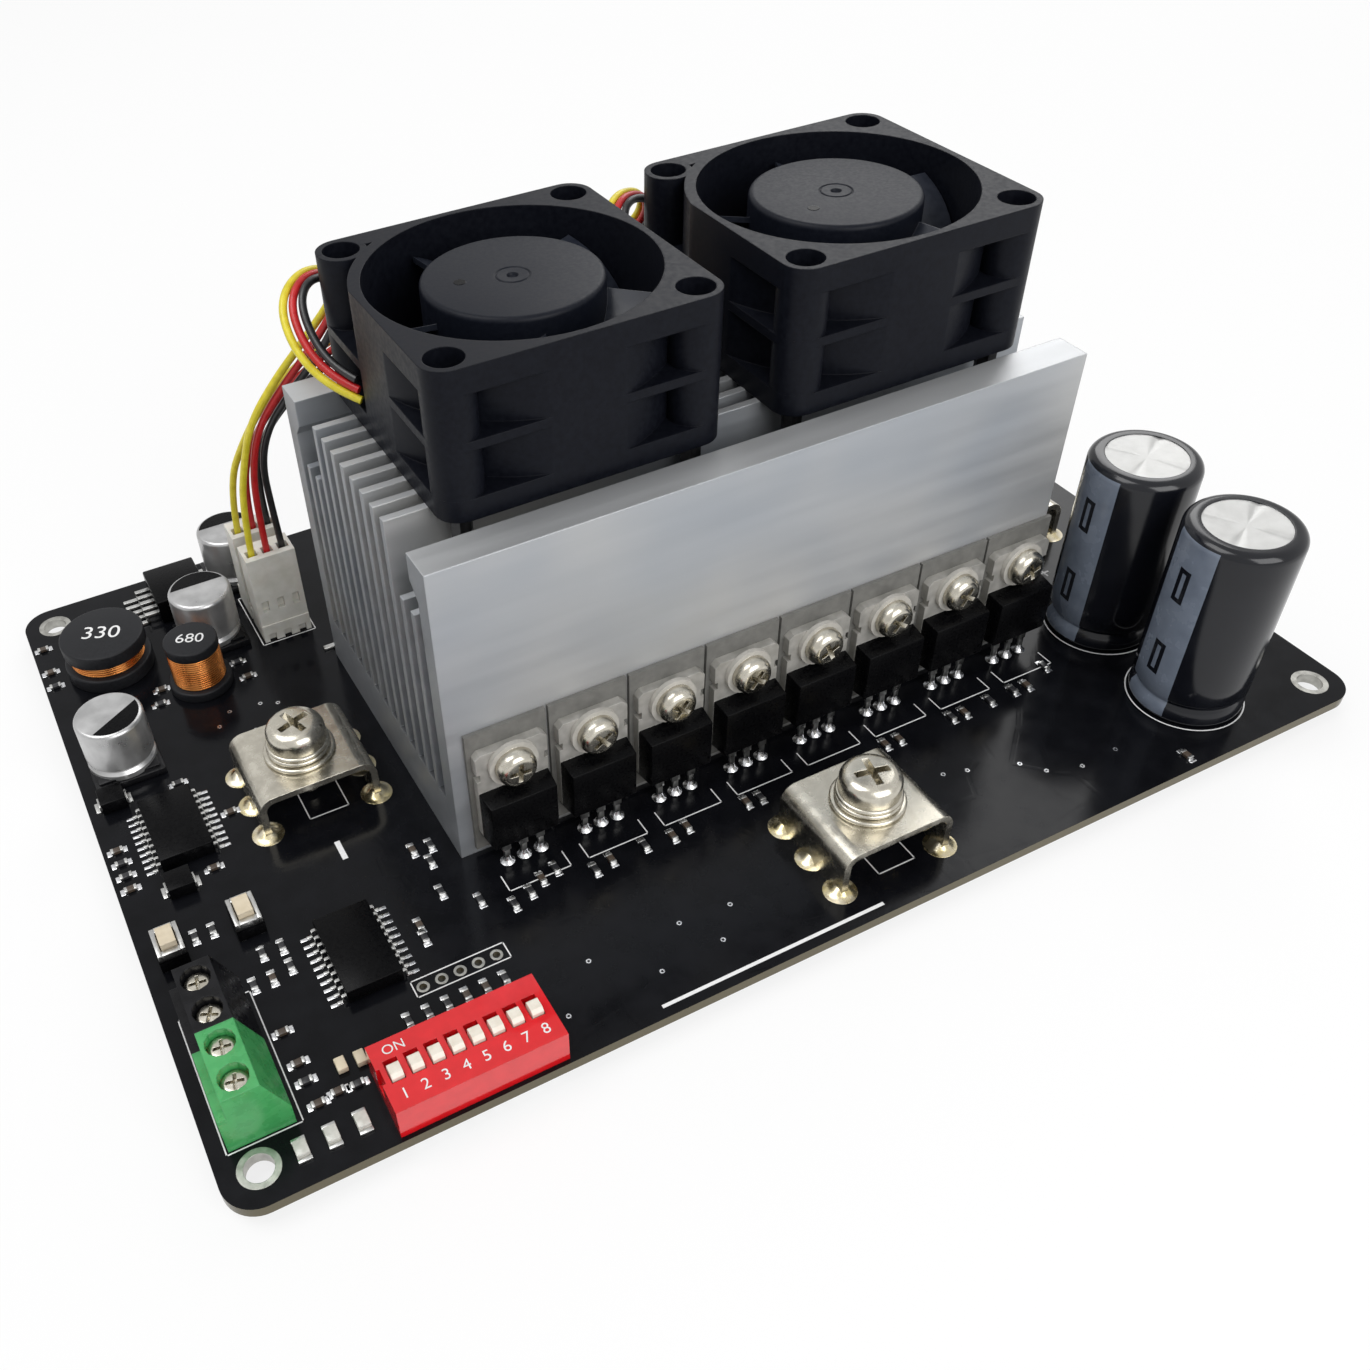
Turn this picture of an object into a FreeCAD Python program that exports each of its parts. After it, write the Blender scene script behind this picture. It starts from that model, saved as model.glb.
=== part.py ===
# DC motor driver module: a black board with a finned heatsink, sixteen power transistors clamped to it,
# two small fans on top, four screw terminals, two large capacitors and the control parts on the left.
import FreeCAD, Part
import math
import operator
import os
import Sketcher

doc = FreeCAD.newDocument("MotorDriver")

# Driving sizes in millimetres. Places are measured from the board's left and front edges,
# from its right and back edges, or from the heatsink, and heights from the board's top face.
sizes = {
    # board
    "leftMargin": 43.6,
    "rightMargin": 33.9,
    "frontMargin": 35.4,
    "backMargin": 35.3,
    "boardThickness": 1.6,
    "boardCorner": 4.5,
    "mountInset": 4.8,
    "mountHoleRadius": 1.85,
    "leadTail": 2.2,
    "tailBase": 1.8,
    "tailTip": 0.7,
    "shortTail": 1.7,
    "headerPitch": 2.54,
    "headerHoleRadius": 0.5,
    "headerLeft": 30.7,
    "headerFront": 18.5,
    # heatsink
    "heatsinkLength": 96.5,
    "heatsinkDepth": 49.3,
    "heatsinkHeight": 48.1,
    "heatsinkBase": 9.0,
    "plateWall": 3.1,
    "plateHead": 5.2,
    "headHeight": 3.8,
    "finCount": 12,
    "tallFinCount": 8,
    "finPitch": 3.38,
    "finThickness": 1.1,
    "shortFinDrop": 9.5,
    # fans
    "fanSide": 38.5,
    "fanHeight": 19.6,
    "fanPostPitch": 32.0,
    "fanTubeRadius": 19.85,
    "fanBoreRadius": 18.3,
    "fanHoleRadius": 2.4,
    "fanScrewRadius": 1.45,
    "fanScrewClearance": 0.2,
    "fanScrewBite": 6.0,
    "fanHeadHeight": 1.6,
    "fanLedge": 3.0,
    "fanTopFlange": 3.3,
    "fanBottomFlange": 2.9,
    "fanMidRib": 1.2,
    "fanMidRibUnder": 9.2,
    "fanMotorPlate": 1.8,
    "fanStrutWidth": 2.2,
    "fanSleeveRadius": 2.6,
    "fanSleeveHeight": 12.5,
    "fanShaftRadius": 1.0,
    "fanShaftClearance": 0.05,
    "fanLeftOffset": 25.1,
    "fanRightOffset": 72.0,
    "fanLeftShift": 1.55,
    "fanRightShift": 0.95,
    "hubRadius": 11.42,
    "hubWall": 1.1,
    "hubDrop": 0.9,
    "hubUnder": 4.4,
    "hubEdge": 0.4,
    "hubDimple": 1.3,
    "bladeTipGap": 0.7,
    "bladeThickness": 0.8,
    "bladeOver": 16.0,
    "bladeRise": 10.4,
    "bladeRun": 11.6,
    "bladeCamber": 1.2,
    "statorRadius": 9.6,
    "statorHeight": 8.0,
    "statorClearance": 0.15,
    # transistors
    "transistorFirst": 7.9,
    "transistorPitch": 11.9,
    "transistorWidth": 10.2,
    "caseDepth": 4.4,
    "caseBottom": 4.4,
    "caseTop": 13.0,
    "tabTop": 19.5,
    "tabThickness": 1.3,
    "tabHoleHeight": 16.7,
    "tabHoleRadius": 1.8,
    "tabCorner": 0.7,
    "leadPitch": 2.54,
    "leadWidth": 0.8,
    "leadShoulder": 1.25,
    "leadThickness": 0.5,
    "leadDepth": 2.5,
    "insulatorThickness": 0.6,
    "insulatorWidth": 11.5,
    "insulatorBottom": 1.2,
    "insulatorTop": 22.2,
    "bushRadius": 3.5,
    "bushThickness": 0.7,
    "screwHeadRadius": 2.8,
    "screwHeadHeight": 2.0,
    "screwShankRadius": 1.45,
    "screwClearance": 0.25,
    # power terminals
    "archWidth": 17.3,
    "archDepth": 14.6,
    "archHeight": 7.2,
    "archSheet": 1.0,
    "archShoulder": 2.4,
    "archLegPitch": 6.4,
    "archLegWidth": 1.8,
    "archLegHeight": 2.3,
    "terminalInset": 29.8,
    "terminalRightInset": 20.0,
    "motorInset": 12.4,
    "motorOffset": 49.4,
    "batteryDepth": 23.7,
    "terminalHoleRadius": 2.7,
    "washerRadius": 6.0,
    "washerThickness": 1.0,
    "springRadius": 4.2,
    "springThickness": 1.3,
    "springGap": 1.0,
    "terminalHeadRadius": 4.2,
    "terminalHeadHeight": 3.1,
    "terminalShankRadius": 2.45,
    "terminalShankLength": 8.6,
    "nutAcross": 8.0,
    "nutHeight": 2.6,
    "nutClearance": 0.06,
    # large capacitors
    "capacitorRadius": 8.0,
    "capacitorHeight": 30.5,
    "capacitorBackInset": 21.3,
    "capacitorBackDepth": 31.2,
    "capacitorFrontInset": 22.3,
    "capacitorFrontDepth": 12.3,
    # small cans
    "canRadius": 5.0,
    "canHeight": 10.0,
    "canBase": 10.3,
    "canBaseHeight": 1.2,
    "canBaseCorner": 2.2,
    # chokes
    "chokeWideRadius": 6.6,
    "chokeWideHeight": 6.7,
    "chokeTallRadius": 4.7,
    "chokeTallHeight": 9.0,
    "chokeFlange": 1.4,
    "chokeNeck": 0.5,
    "chokeBaseLip": 0.3,
    "chokeGap": 0.06,
    "windingInset": 0.5,
    # chip packages
    "chipWidth": 7.5,
    "chipLength": 12.8,
    "chipHeight": 2.4,
    "chipStandoff": 0.2,
    "chipPinPitch": 1.27,
    "chipPinWidth": 0.42,
    "chipPinReach": 1.35,
    "chipPinThickness": 0.25,
    "chipPinFoot": 0.7,
    "chipEdgeSlope": 0.25,
    # regulator
    "regulatorLength": 8.6,
    "regulatorWidth": 10.0,
    "regulatorHeight": 4.4,
    "regulatorTab": 1.2,
    "regulatorLeadPitch": 1.7,
    "regulatorLeadReach": 4.6,
    "regulatorLeadWidth": 0.8,
    # push buttons
    "buttonWidth": 3.8,
    "buttonDepth": 5.2,
    "buttonBody": 2.2,
    "buttonPlate": 3.1,
    "buttonPlateInset": 0.15,
    "plungerWidth": 2.1,
    "plungerDepth": 3.1,
    "plungerTop": 4.0,
    "plungerClearance": 0.12,
    "plungerTravel": 0.3,
    # DIP switch
    "switchLength": 21.7,
    "switchDepth": 9.7,
    "switchHeight": 5.2,
    "switchLeft": 20.4,
    "switchFront": 0.6,
    "sliderPitch": 2.54,
    "sliderWidth": 1.5,
    "sliderDepth": 1.9,
    "sliderProud": 0.9,
    "sliderSunk": 1.3,
    "sliderFront": 3.9,
    "sliderTravel": 1.0,
    "sliderClearance": 0.12,
    # signal terminal blocks
    "blockWidth": 8.2,
    "blockLeft": 2.3,
    "blockFront": 8.3,
    "blockPitch": 5.0,
    "blockHeight": 9.8,
    "blockTopWidth": 4.6,
    "blockLedge": 1.1,
    "blockLedgeHeight": 6.4,
    "blockToe": 3.6,
    "blockScrewRadius": 1.7,
    "blockScrewClearance": 0.15,
    "blockScrewSunk": 1.0,
    "blockScrewDepth": 3.4,
    "blockWindow": 3.2,
    "blockWindowDepth": 4.0,
    # fan connectors
    "plugPitch": 2.54,
    "plugWidth": 7.9,
    "plugDepth": 4.9,
    "plugTop": 16.0,
    "headerBaseHeight": 3.2,
    "headerBaseDepth": 6.3,
    "headerWall": 1.0,
    "headerWallTop": 10.5,
    "plugLeft": 34.5,
    "plugFront": 93.2,
    "plugRow": 7.2,
    "plugWireDepth": 2.0,
    # small parts
    "ledLength": 3.2,
    "ledWidth": 1.6,
    "ledHeight": 1.1,
    "smallChipLength": 1.7,
    "smallChipWidth": 0.9,
    "smallChipHeight": 0.5,
    "diodeLength": 4.3,
    "diodeWidth": 3.6,
    "diodeHeight": 2.2,
    # fan wires
    "wireRadius": 0.55,
    "wireSpacing": 1.4,
}

sheet = doc.addObject("Spreadsheet::Sheet", "Sizes")
for row, (alias, value) in enumerate(sizes.items(), 1):
    sheet.set(f"A{row}", alias)
    sheet.set(f"B{row}", str(value))
    sheet.setAlias(f"B{row}", alias)
doc.recompute()


# A number together with the formula that the sheet gives it by.
class Size:
    signs = {"+": operator.add, "-": operator.sub, "*": operator.mul, "/": operator.truediv}

    def __init__(self, number, text):
        self.number = number
        self.text = text

    def joined(self, sign, other, turned=False):
        left, right = (sized(other), self) if turned else (self, sized(other))
        return Size(self.signs[sign](left.number, right.number), f"({left.text} {sign} {right.text})")

    def __add__(self, other):
        return self.joined("+", other)

    def __radd__(self, other):
        return self.joined("+", other, True)

    def __sub__(self, other):
        return self.joined("-", other)

    def __rsub__(self, other):
        return self.joined("-", other, True)

    def __mul__(self, other):
        return self.joined("*", other)

    def __rmul__(self, other):
        return self.joined("*", other, True)

    def __truediv__(self, other):
        return self.joined("/", other)

    def __neg__(self):
        return self.joined("*", -1)


def sized(value):
    return value if isinstance(value, Size) else Size(value, f"({value})")


class Named:
    pass


s = Named()
for alias, value in sizes.items():
    setattr(s, alias, Size(value, f"Sizes.{alias}"))

boardLength = s.leftMargin + s.heatsinkLength + s.rightMargin
boardWidth = s.frontMargin + s.heatsinkDepth + s.backMargin
boardTop = s.leadTail + s.boardThickness
nodes = []


# Binding and placing
def bind(item, **values):
    for name, value in values.items():
        item.setExpression(name.replace("_", "."), sized(value).text)
    return item


def place(item, x=0, y=0, z=0):
    return bind(item, Placement_Base_x=x, Placement_Base_y=y, Placement_Base_z=z)


def finish(label, item, x=0, y=0, z=0):
    if item.TypeId in ("Part::Box", "Part::Cylinder", "Part::Cone", "Part::Prism"):
        item = group([item])
    place(item, x - boardLength / 2, y - boardWidth / 2, z + boardTop)
    item.Label = label
    nodes.append(item)
    return item


# Primitives and booleans
def box(x, y, z, length, width, height):
    item = doc.addObject("Part::Box", "Box")
    bind(item, Length=length, Width=width, Height=height)
    return place(item, x, y, z)


def block(x, y, z, length, width, height):
    return box(sized(x) - sized(length) / 2, sized(y) - sized(width) / 2, z, length, width, height)


def rod(x, y, z, radius, height):
    item = doc.addObject("Part::Cylinder", "Rod")
    bind(item, Radius=radius, Height=height)
    return place(item, x, y, z)


# Small round pieces that repeat are many-sided, which keeps their facets few
def prism(x, y, z, radius, height, sides=12):
    item = doc.addObject("Part::Prism", "Prism")
    item.Polygon = sides
    bind(item, Circumradius=radius, Height=height)
    return place(item, x, y, z)


def cone(x, y, z, bottom, top, height):
    item = doc.addObject("Part::Cone", "Cone")
    bind(item, Radius1=bottom, Radius2=top, Height=height)
    return place(item, x, y, z)


def tail(x, y, length):
    # solder cone under the board, four sided, with the lead's tip at its lower end
    item = doc.addObject("Part::Wedge", "Tail")
    half = s.tailBase / 2
    tip = s.tailTip / 2
    bind(item, Xmin=-half, Xmax=half, Zmin=-half, Zmax=half, Ymin=0, Ymax=length)
    bind(item, X2min=-tip, X2max=tip, Z2min=-tip, Z2max=tip)
    item.Placement = FreeCAD.Placement(FreeCAD.Vector(), FreeCAD.Rotation(FreeCAD.Vector(1, 0, 0), -90))
    return place(item, x, y, -s.boardThickness)


def fuse(parts):
    item = doc.addObject("Part::MultiFuse", "Fused")
    item.Shapes = parts
    item.Refine = True
    return item


def cut(base, tools):
    item = doc.addObject("Part::Cut", "Cut")
    item.Base = base
    item.Tool = tools[0] if len(tools) == 1 else group(tools)
    return item


def common(first, second):
    item = doc.addObject("Part::Common", "Common")
    item.Base = first
    item.Tool = second
    return item


def group(parts):
    item = doc.addObject("Part::Compound", "Group")
    item.Links = parts
    return item


def rounded_box(x, y, z, length, width, height, radius):
    base = block(x, y, z, length, width, height)
    doc.recompute()
    item = doc.addObject("Part::Fillet", "Rounded")
    item.Base = base
    number = sized(radius).number
    upright = [i for i, edge in enumerate(base.Shape.Edges, 1) if abs(edge.tangentAt(0).z) > 0.9]
    item.Edges = [(i, number, number) for i in upright]
    return item


# Bodies with sketches
def body(name):
    return doc.addObject("PartDesign::Body", name)


def sketch(owner, role, lift=0):
    item = owner.newObject("Sketcher::SketchObject", "Sketch")
    item.AttachmentSupport = [([o for o in owner.Origin.OriginFeatures if o.Role == role][0], "")]
    item.MapMode = "FlatFace"
    bind(item, AttachmentOffset_Base_z=lift)
    return item


def pin_down(item, geometry, point, x, y):
    for kind, value in (("DistanceX", sized(x)), ("DistanceY", sized(y))):
        index = item.addConstraint(Sketcher.Constraint(kind, -1, 1, geometry, point, float(value.number)))
        item.setExpression(f"Constraints[{index}]", value.text)


def outline(item, points):
    first = item.GeometryCount
    count = len(points)
    spots = [FreeCAD.Vector(sized(x).number, sized(y).number, 0) for x, y in points]
    for i in range(count):
        item.addGeometry(Part.LineSegment(spots[i], spots[(i + 1) % count]))
    for i in range(count):
        item.addConstraint(Sketcher.Constraint("Coincident", first + i, 2, first + (i + 1) % count, 1))
    for i, (x, y) in enumerate(points):
        pin_down(item, first + i, 1, x, y)
    return item


def rectangle(item, left, low, right, high):
    return outline(item, [(left, low), (right, low), (right, high), (left, high)])


def circle(item, x, y, radius):
    radius = sized(radius)
    centre = FreeCAD.Vector(sized(x).number, sized(y).number, 0)
    geometry = item.addGeometry(Part.Circle(centre, FreeCAD.Vector(0, 0, 1), radius.number))
    pin_down(item, geometry, 3, x, y)
    index = item.addConstraint(Sketcher.Constraint("Radius", geometry, float(radius.number)))
    item.setExpression(f"Constraints[{index}]", radius.text)
    return item


def many_sided(item, x, y, radius, sides=12):
    turns = [math.tau * i / sides for i in range(sides)]
    return outline(item, [(sized(radius) * math.cos(turn) + x, sized(radius) * math.sin(turn) + y) for turn in turns])


def pad(owner, profile, length, reverse=False):
    item = owner.newObject("PartDesign::Pad", "Pad")
    item.Profile = profile
    item.Reversed = reverse
    return bind(item, Length=length)


def pocket(owner, profile, length, reverse=False):
    item = owner.newObject("PartDesign::Pocket", "Pocket")
    item.Profile = profile
    item.Reversed = reverse
    return bind(item, Length=length)


def turned(owner, profile, axis="V_Axis", removed=False):
    item = owner.newObject("PartDesign::Groove" if removed else "PartDesign::Revolution", "Turned")
    item.Profile = profile
    item.ReferenceAxis = (profile, [axis])
    item.Angle = 360
    return item


def repeat(owner, features, guide, axis, count, pitch):
    item = owner.newObject("PartDesign::LinearPattern", "Repeat")
    item.Originals = features
    item.Direction = (guide, [axis])
    bind(item, Length=(sized(count) - 1) * pitch, Occurrences=count)
    owner.Tip = item
    return item


def around(owner, features, guide, count):
    item = owner.newObject("PartDesign::PolarPattern", "Around")
    item.Originals = features
    item.Axis = (guide, ["N_Axis"])
    item.Angle = 360
    item.Occurrences = count
    owner.Tip = item
    return item


def fillet(owner, base, chosen, radius):
    doc.recompute()
    item = owner.newObject("PartDesign::Fillet", "Fillet")
    item.Base = (base, [f"Edge{i}" for i, edge in enumerate(base.Shape.Edges, 1) if chosen(edge)])
    return bind(item, Radius=radius)


def runs_along(edge, axis):
    return isinstance(edge.Curve, Part.Line) and abs(getattr(edge.tangentAt(edge.FirstParameter), axis)) > 0.999


# Circuit board, with four plated mounting holes and five open header holes
def circuit_board():
    board = body("Board")
    slab = pad(board, rectangle(sketch(board, "XY_Plane"), 0, 0, boardLength, boardWidth), s.boardThickness)
    fillet(board, slab, lambda edge: runs_along(edge, "z"), s.boardCorner)
    corners = sketch(board, "XY_Plane")
    for x in (s.mountInset, boardLength - s.mountInset):
        for y in (s.mountInset, boardWidth - s.mountInset):
            circle(corners, x, y, s.mountHoleRadius)
    pocket(board, corners, s.boardThickness, True)
    header = many_sided(sketch(board, "XY_Plane"), s.headerLeft, s.headerFront, s.headerHoleRadius, 6)
    hole = pocket(board, header, s.boardThickness, True)
    repeat(board, [hole], header, "H_Axis", 5, s.headerPitch)
    finish("circuit_board", board, z=-s.boardThickness)


# Heatsink: an extruded trough with thick-headed side walls and twelve fins, the outer two each side shorter
def heatsink():
    sink = body("Heatsink")
    deep = s.heatsinkDepth
    top = s.heatsinkHeight
    under = top - s.headHeight
    trough = outline(sketch(sink, "YZ_Plane"), [
        (0, 0), (deep, 0), (deep, top), (deep - s.plateHead, top), (deep - s.plateHead, under),
        (deep - s.plateWall, under - s.plateHead + s.plateWall), (deep - s.plateWall, s.heatsinkBase),
        (s.plateWall, s.heatsinkBase), (s.plateWall, under - s.plateHead + s.plateWall),
        (s.plateHead, under), (s.plateHead, top), (0, top)])
    pad(sink, trough, s.heatsinkLength)
    for count, height in ((s.finCount, top - s.shortFinDrop), (s.tallFinCount, top)):
        first = deep / 2 - (count - 1) * s.finPitch / 2
        profile = rectangle(sketch(sink, "YZ_Plane"), first - s.finThickness / 2, s.heatsinkBase - 1,
                            first + s.finThickness / 2, height)
        fin = pad(sink, profile, s.heatsinkLength)
        repeat(sink, [fin], profile, "H_Axis", count, s.finPitch)
    bites = sketch(sink, "XY_Plane", top)
    reach = s.fanPostPitch / 2
    for x, shift in ((s.fanLeftOffset, s.fanLeftShift), (s.fanRightOffset, s.fanRightShift)):
        for dx in (-reach, reach):
            for dy in (-reach, reach):
                many_sided(bites, x + dx, deep / 2 + shift + dy, s.fanScrewRadius + s.fanScrewClearance, 6)
    pocket(sink, bites, s.fanScrewBite + s.fanScrewClearance)
    finish("heatsink", sink, s.leftMargin, s.frontMargin)


# Fan frame: a bored tube between three square flanges and four hollow corner posts, and a motor plate on struts
def fan_frame(label, x, y):
    side = s.fanSide
    reach = s.fanPostPitch / 2
    post = side / 2 - reach
    top = s.fanHeight - s.fanTopFlange
    spots = [(-reach, -reach), (reach, -reach), (reach, reach), (-reach, reach)]
    upper = block(0, 0, top, side, side, s.fanTopFlange)
    notch = box(-side / 2, 0, top, reach - post, reach, s.fanTopFlange)
    body_parts = [prism(0, 0, 0, s.fanTubeRadius, s.fanHeight, 32), cut(upper, [notch])]
    body_parts.append(block(0, 0, 0, side, side, s.fanBottomFlange))
    body_parts.append(block(0, 0, s.fanMidRibUnder, side, side, s.fanMidRib))
    body_parts += [prism(px, py, 0, post, s.fanHeight) for px, py in spots]
    envelope = rounded_box(0, 0, 0, side, side, s.fanHeight, post)
    holes = [prism(0, 0, 0, s.fanBoreRadius, s.fanHeight, 32)]
    holes += [prism(px, py, s.fanLedge, s.fanHoleRadius, s.fanHeight, 10) for px, py in spots]
    holes += [prism(px, py, 0, s.fanScrewRadius + s.fanScrewClearance, s.fanLedge, 6) for px, py in spots]
    shell = cut(common(fuse(body_parts), envelope), holes)
    reachIn = s.fanBoreRadius + (s.fanTubeRadius - s.fanBoreRadius) / 2
    struts = [block(0, 0, 0, 2 * reachIn, s.fanStrutWidth, s.fanMotorPlate)]
    struts.append(block(0, 0, 0, s.fanStrutWidth, 2 * reachIn, s.fanMotorPlate))
    motor = [prism(0, 0, 0, s.hubRadius, s.fanMotorPlate, 20)]
    motor.append(prism(0, 0, 0, s.fanSleeveRadius, s.fanSleeveHeight))
    bore = prism(0, 0, s.fanMotorPlate / 2, s.fanShaftRadius + s.fanShaftClearance, s.fanSleeveHeight)
    frame = cut(fuse([shell] + struts + motor), [bore])
    finish(label, frame, x, y, s.heatsinkHeight)


# Fan rotor: a cup with a shaft and five swept and cambered blades, trimmed to the bore
def fan_rotor(label, x, y, turn):
    rotor = body("Rotor")
    top = s.fanHeight - s.hubDrop
    hollow = top - s.hubWall
    hub = many_sided(sketch(rotor, "XY_Plane", s.hubUnder), 0, 0, s.hubRadius, 40)
    pad(rotor, hub, top - s.hubUnder)
    dimple = many_sided(sketch(rotor, "XY_Plane", top), 0, 0, s.hubDimple)
    pocket(rotor, dimple, s.hubEdge)
    cup = many_sided(sketch(rotor, "XY_Plane", s.hubUnder), 0, 0, s.hubRadius - s.hubWall, 20)
    pocket(rotor, cup, hollow - s.hubUnder, True)
    shaft = many_sided(sketch(rotor, "XY_Plane", s.fanMotorPlate), 0, 0, s.fanShaftRadius, 8)
    pad(rotor, shaft, hollow - s.fanMotorPlate + s.hubEdge)
    root = s.hubRadius - s.hubWall / 2
    run = s.bladeRun
    low = s.bladeOver - s.bladeRise
    middle = s.bladeOver - s.bladeRise / 2
    section = outline(sketch(rotor, "YZ_Plane", root), [
        (-run / 2, low), (-run / 2 + s.bladeThickness, low), (s.bladeCamber + s.bladeThickness, middle),
        (run / 2 + s.bladeThickness, s.bladeOver), (run / 2, s.bladeOver), (s.bladeCamber, middle)])
    blade = pad(rotor, section, s.fanBoreRadius - root)
    guide = sketch(rotor, "XY_Plane")
    around(rotor, [blade], guide, 5)
    tip = s.fanBoreRadius - s.bladeTipGap
    trim = rectangle(sketch(rotor, "XZ_Plane"), tip, 0, s.fanBoreRadius * 1.5, s.fanHeight)
    turned(rotor, trim, removed=True)
    rotor.Placement = FreeCAD.Placement(FreeCAD.Vector(), FreeCAD.Rotation(FreeCAD.Vector(0, 0, 1), turn))
    finish(label, rotor, x, y, s.heatsinkHeight)


def fans():
    middle = s.frontMargin + s.heatsinkDepth / 2
    places = (("left", s.leftMargin + s.fanLeftOffset, middle + s.fanLeftShift, 20),
              ("right", s.leftMargin + s.fanRightOffset, middle + s.fanRightShift, 62))
    screws = []
    stators = []
    for name, x, y, turn in places:
        fan_frame(f"fan_frame_{name}", x, y)
        fan_rotor(f"fan_rotor_{name}", x, y, turn)
        stator = prism(x, y, s.fanMotorPlate, s.statorRadius, s.statorHeight)
        sleeve = prism(x, y, s.fanMotorPlate, s.fanSleeveRadius + s.statorClearance, s.statorHeight)
        stators.append(cut(stator, [sleeve]))
        reach = s.fanPostPitch / 2
        for dx in (-reach, reach):
            for dy in (-reach, reach):
                head = prism(x + dx, y + dy, s.fanLedge, s.fanHoleRadius - s.fanScrewClearance, s.fanHeadHeight, 10)
                shank = prism(x + dx, y + dy, -s.fanScrewBite, s.fanScrewRadius, s.fanLedge + s.fanScrewBite, 6)
                screws.append(fuse([head, shank]))
    finish("fan_screws", group(screws), z=s.heatsinkHeight)
    finish("fan_stators", group(stators), z=s.heatsinkHeight)


# One row of eight power transistors with their insulators, bushes and screws.
# Built facing the front; the back row is the same row turned half round.
def transistor_row(name, x, y, turn):
    row = body("Transistors")
    front = -s.insulatorThickness
    half = s.transistorWidth / 2
    tab = outline(sketch(row, "XZ_Plane", -front), [
        (-half, s.caseBottom), (half, s.caseBottom), (half, s.tabTop - s.tabCorner), (half - s.tabCorner, s.tabTop),
        (s.tabCorner - half, s.tabTop), (-half, s.tabTop - s.tabCorner)])
    parts = [pad(row, tab, s.tabThickness)]
    deep = front - s.caseDepth
    case = outline(sketch(row, "YZ_Plane", -half), [
        (front - 0.4, s.caseBottom), (front - 0.4, s.caseTop), (deep + 0.5, s.caseTop),
        (deep, s.caseTop - 1.2), (deep, s.caseBottom + 0.6), (deep + 0.3, s.caseBottom)])
    parts.append(pad(row, case, s.transistorWidth))
    legs = sketch(row, "XZ_Plane", s.insulatorThickness + s.leadDepth)
    foot = s.leadWidth / 2
    wide = s.leadShoulder / 2
    for step in (-1, 0, 1):
        at = step * s.leadPitch
        outline(legs, [(at - foot, 0), (at + foot, 0), (at + wide, s.caseBottom + 0.3), (at - wide, s.caseBottom + 0.3)])
    parts.append(pad(row, legs, s.leadThickness))
    eye = sketch(row, "XZ_Plane", s.insulatorThickness + s.tabThickness)
    many_sided(eye, 0, s.tabHoleHeight, s.tabHoleRadius, 6)
    parts.append(pocket(row, eye, s.tabThickness))
    repeat(row, parts, tab, "H_Axis", 8, s.transistorPitch)

    bushes = body("Bushes")
    face = -s.insulatorThickness - s.tabThickness
    ring = sketch(bushes, "XZ_Plane", -face)
    many_sided(ring, 0, s.tabHoleHeight, s.bushRadius, 10)
    many_sided(ring, 0, s.tabHoleHeight, s.screwShankRadius + s.screwClearance, 6)
    repeat(bushes, [pad(bushes, ring, s.bushThickness)], ring, "H_Axis", 8, s.transistorPitch)

    screws = body("Screws")
    shank = sketch(screws, "XZ_Plane", -face - s.tabThickness)
    many_sided(shank, 0, s.tabHoleHeight, s.screwShankRadius, 6)
    pieces = [pad(screws, shank, s.tabThickness + s.bushThickness + 0.2)]
    cap = many_sided(sketch(screws, "XZ_Plane", s.bushThickness - face), 0, s.tabHoleHeight, s.screwHeadRadius, 10)
    pieces.append(pad(screws, cap, s.screwHeadHeight))
    repeat(screws, pieces, shank, "H_Axis", 8, s.transistorPitch)

    for item in (row, bushes, screws):
        item.Placement = FreeCAD.Placement(FreeCAD.Vector(), FreeCAD.Rotation(FreeCAD.Vector(0, 0, 1), turn))
    finish(f"transistors_{name}", row, x, y)
    return place(bushes, x, y), place(screws, x, y)


def transistors():
    first = s.leftMargin + s.transistorFirst
    last = first + 7 * s.transistorPitch
    back = s.frontMargin + s.heatsinkDepth
    bushes, screws = zip(transistor_row("front", first, s.frontMargin, 0), transistor_row("back", last, back, 180))
    finish("tab_bushes", group(list(bushes)))
    finish("tab_screws", group(list(screws)))
    sheets = []
    for step in range(8):
        for y in (s.frontMargin - s.insulatorThickness, back):
            sheets.append(box(first + step * s.transistorPitch - s.insulatorWidth / 2, y, s.insulatorBottom,
                              s.insulatorWidth, s.insulatorThickness, s.insulatorTop - s.insulatorBottom))
    finish("insulating_sheets", group(sheets))


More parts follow.
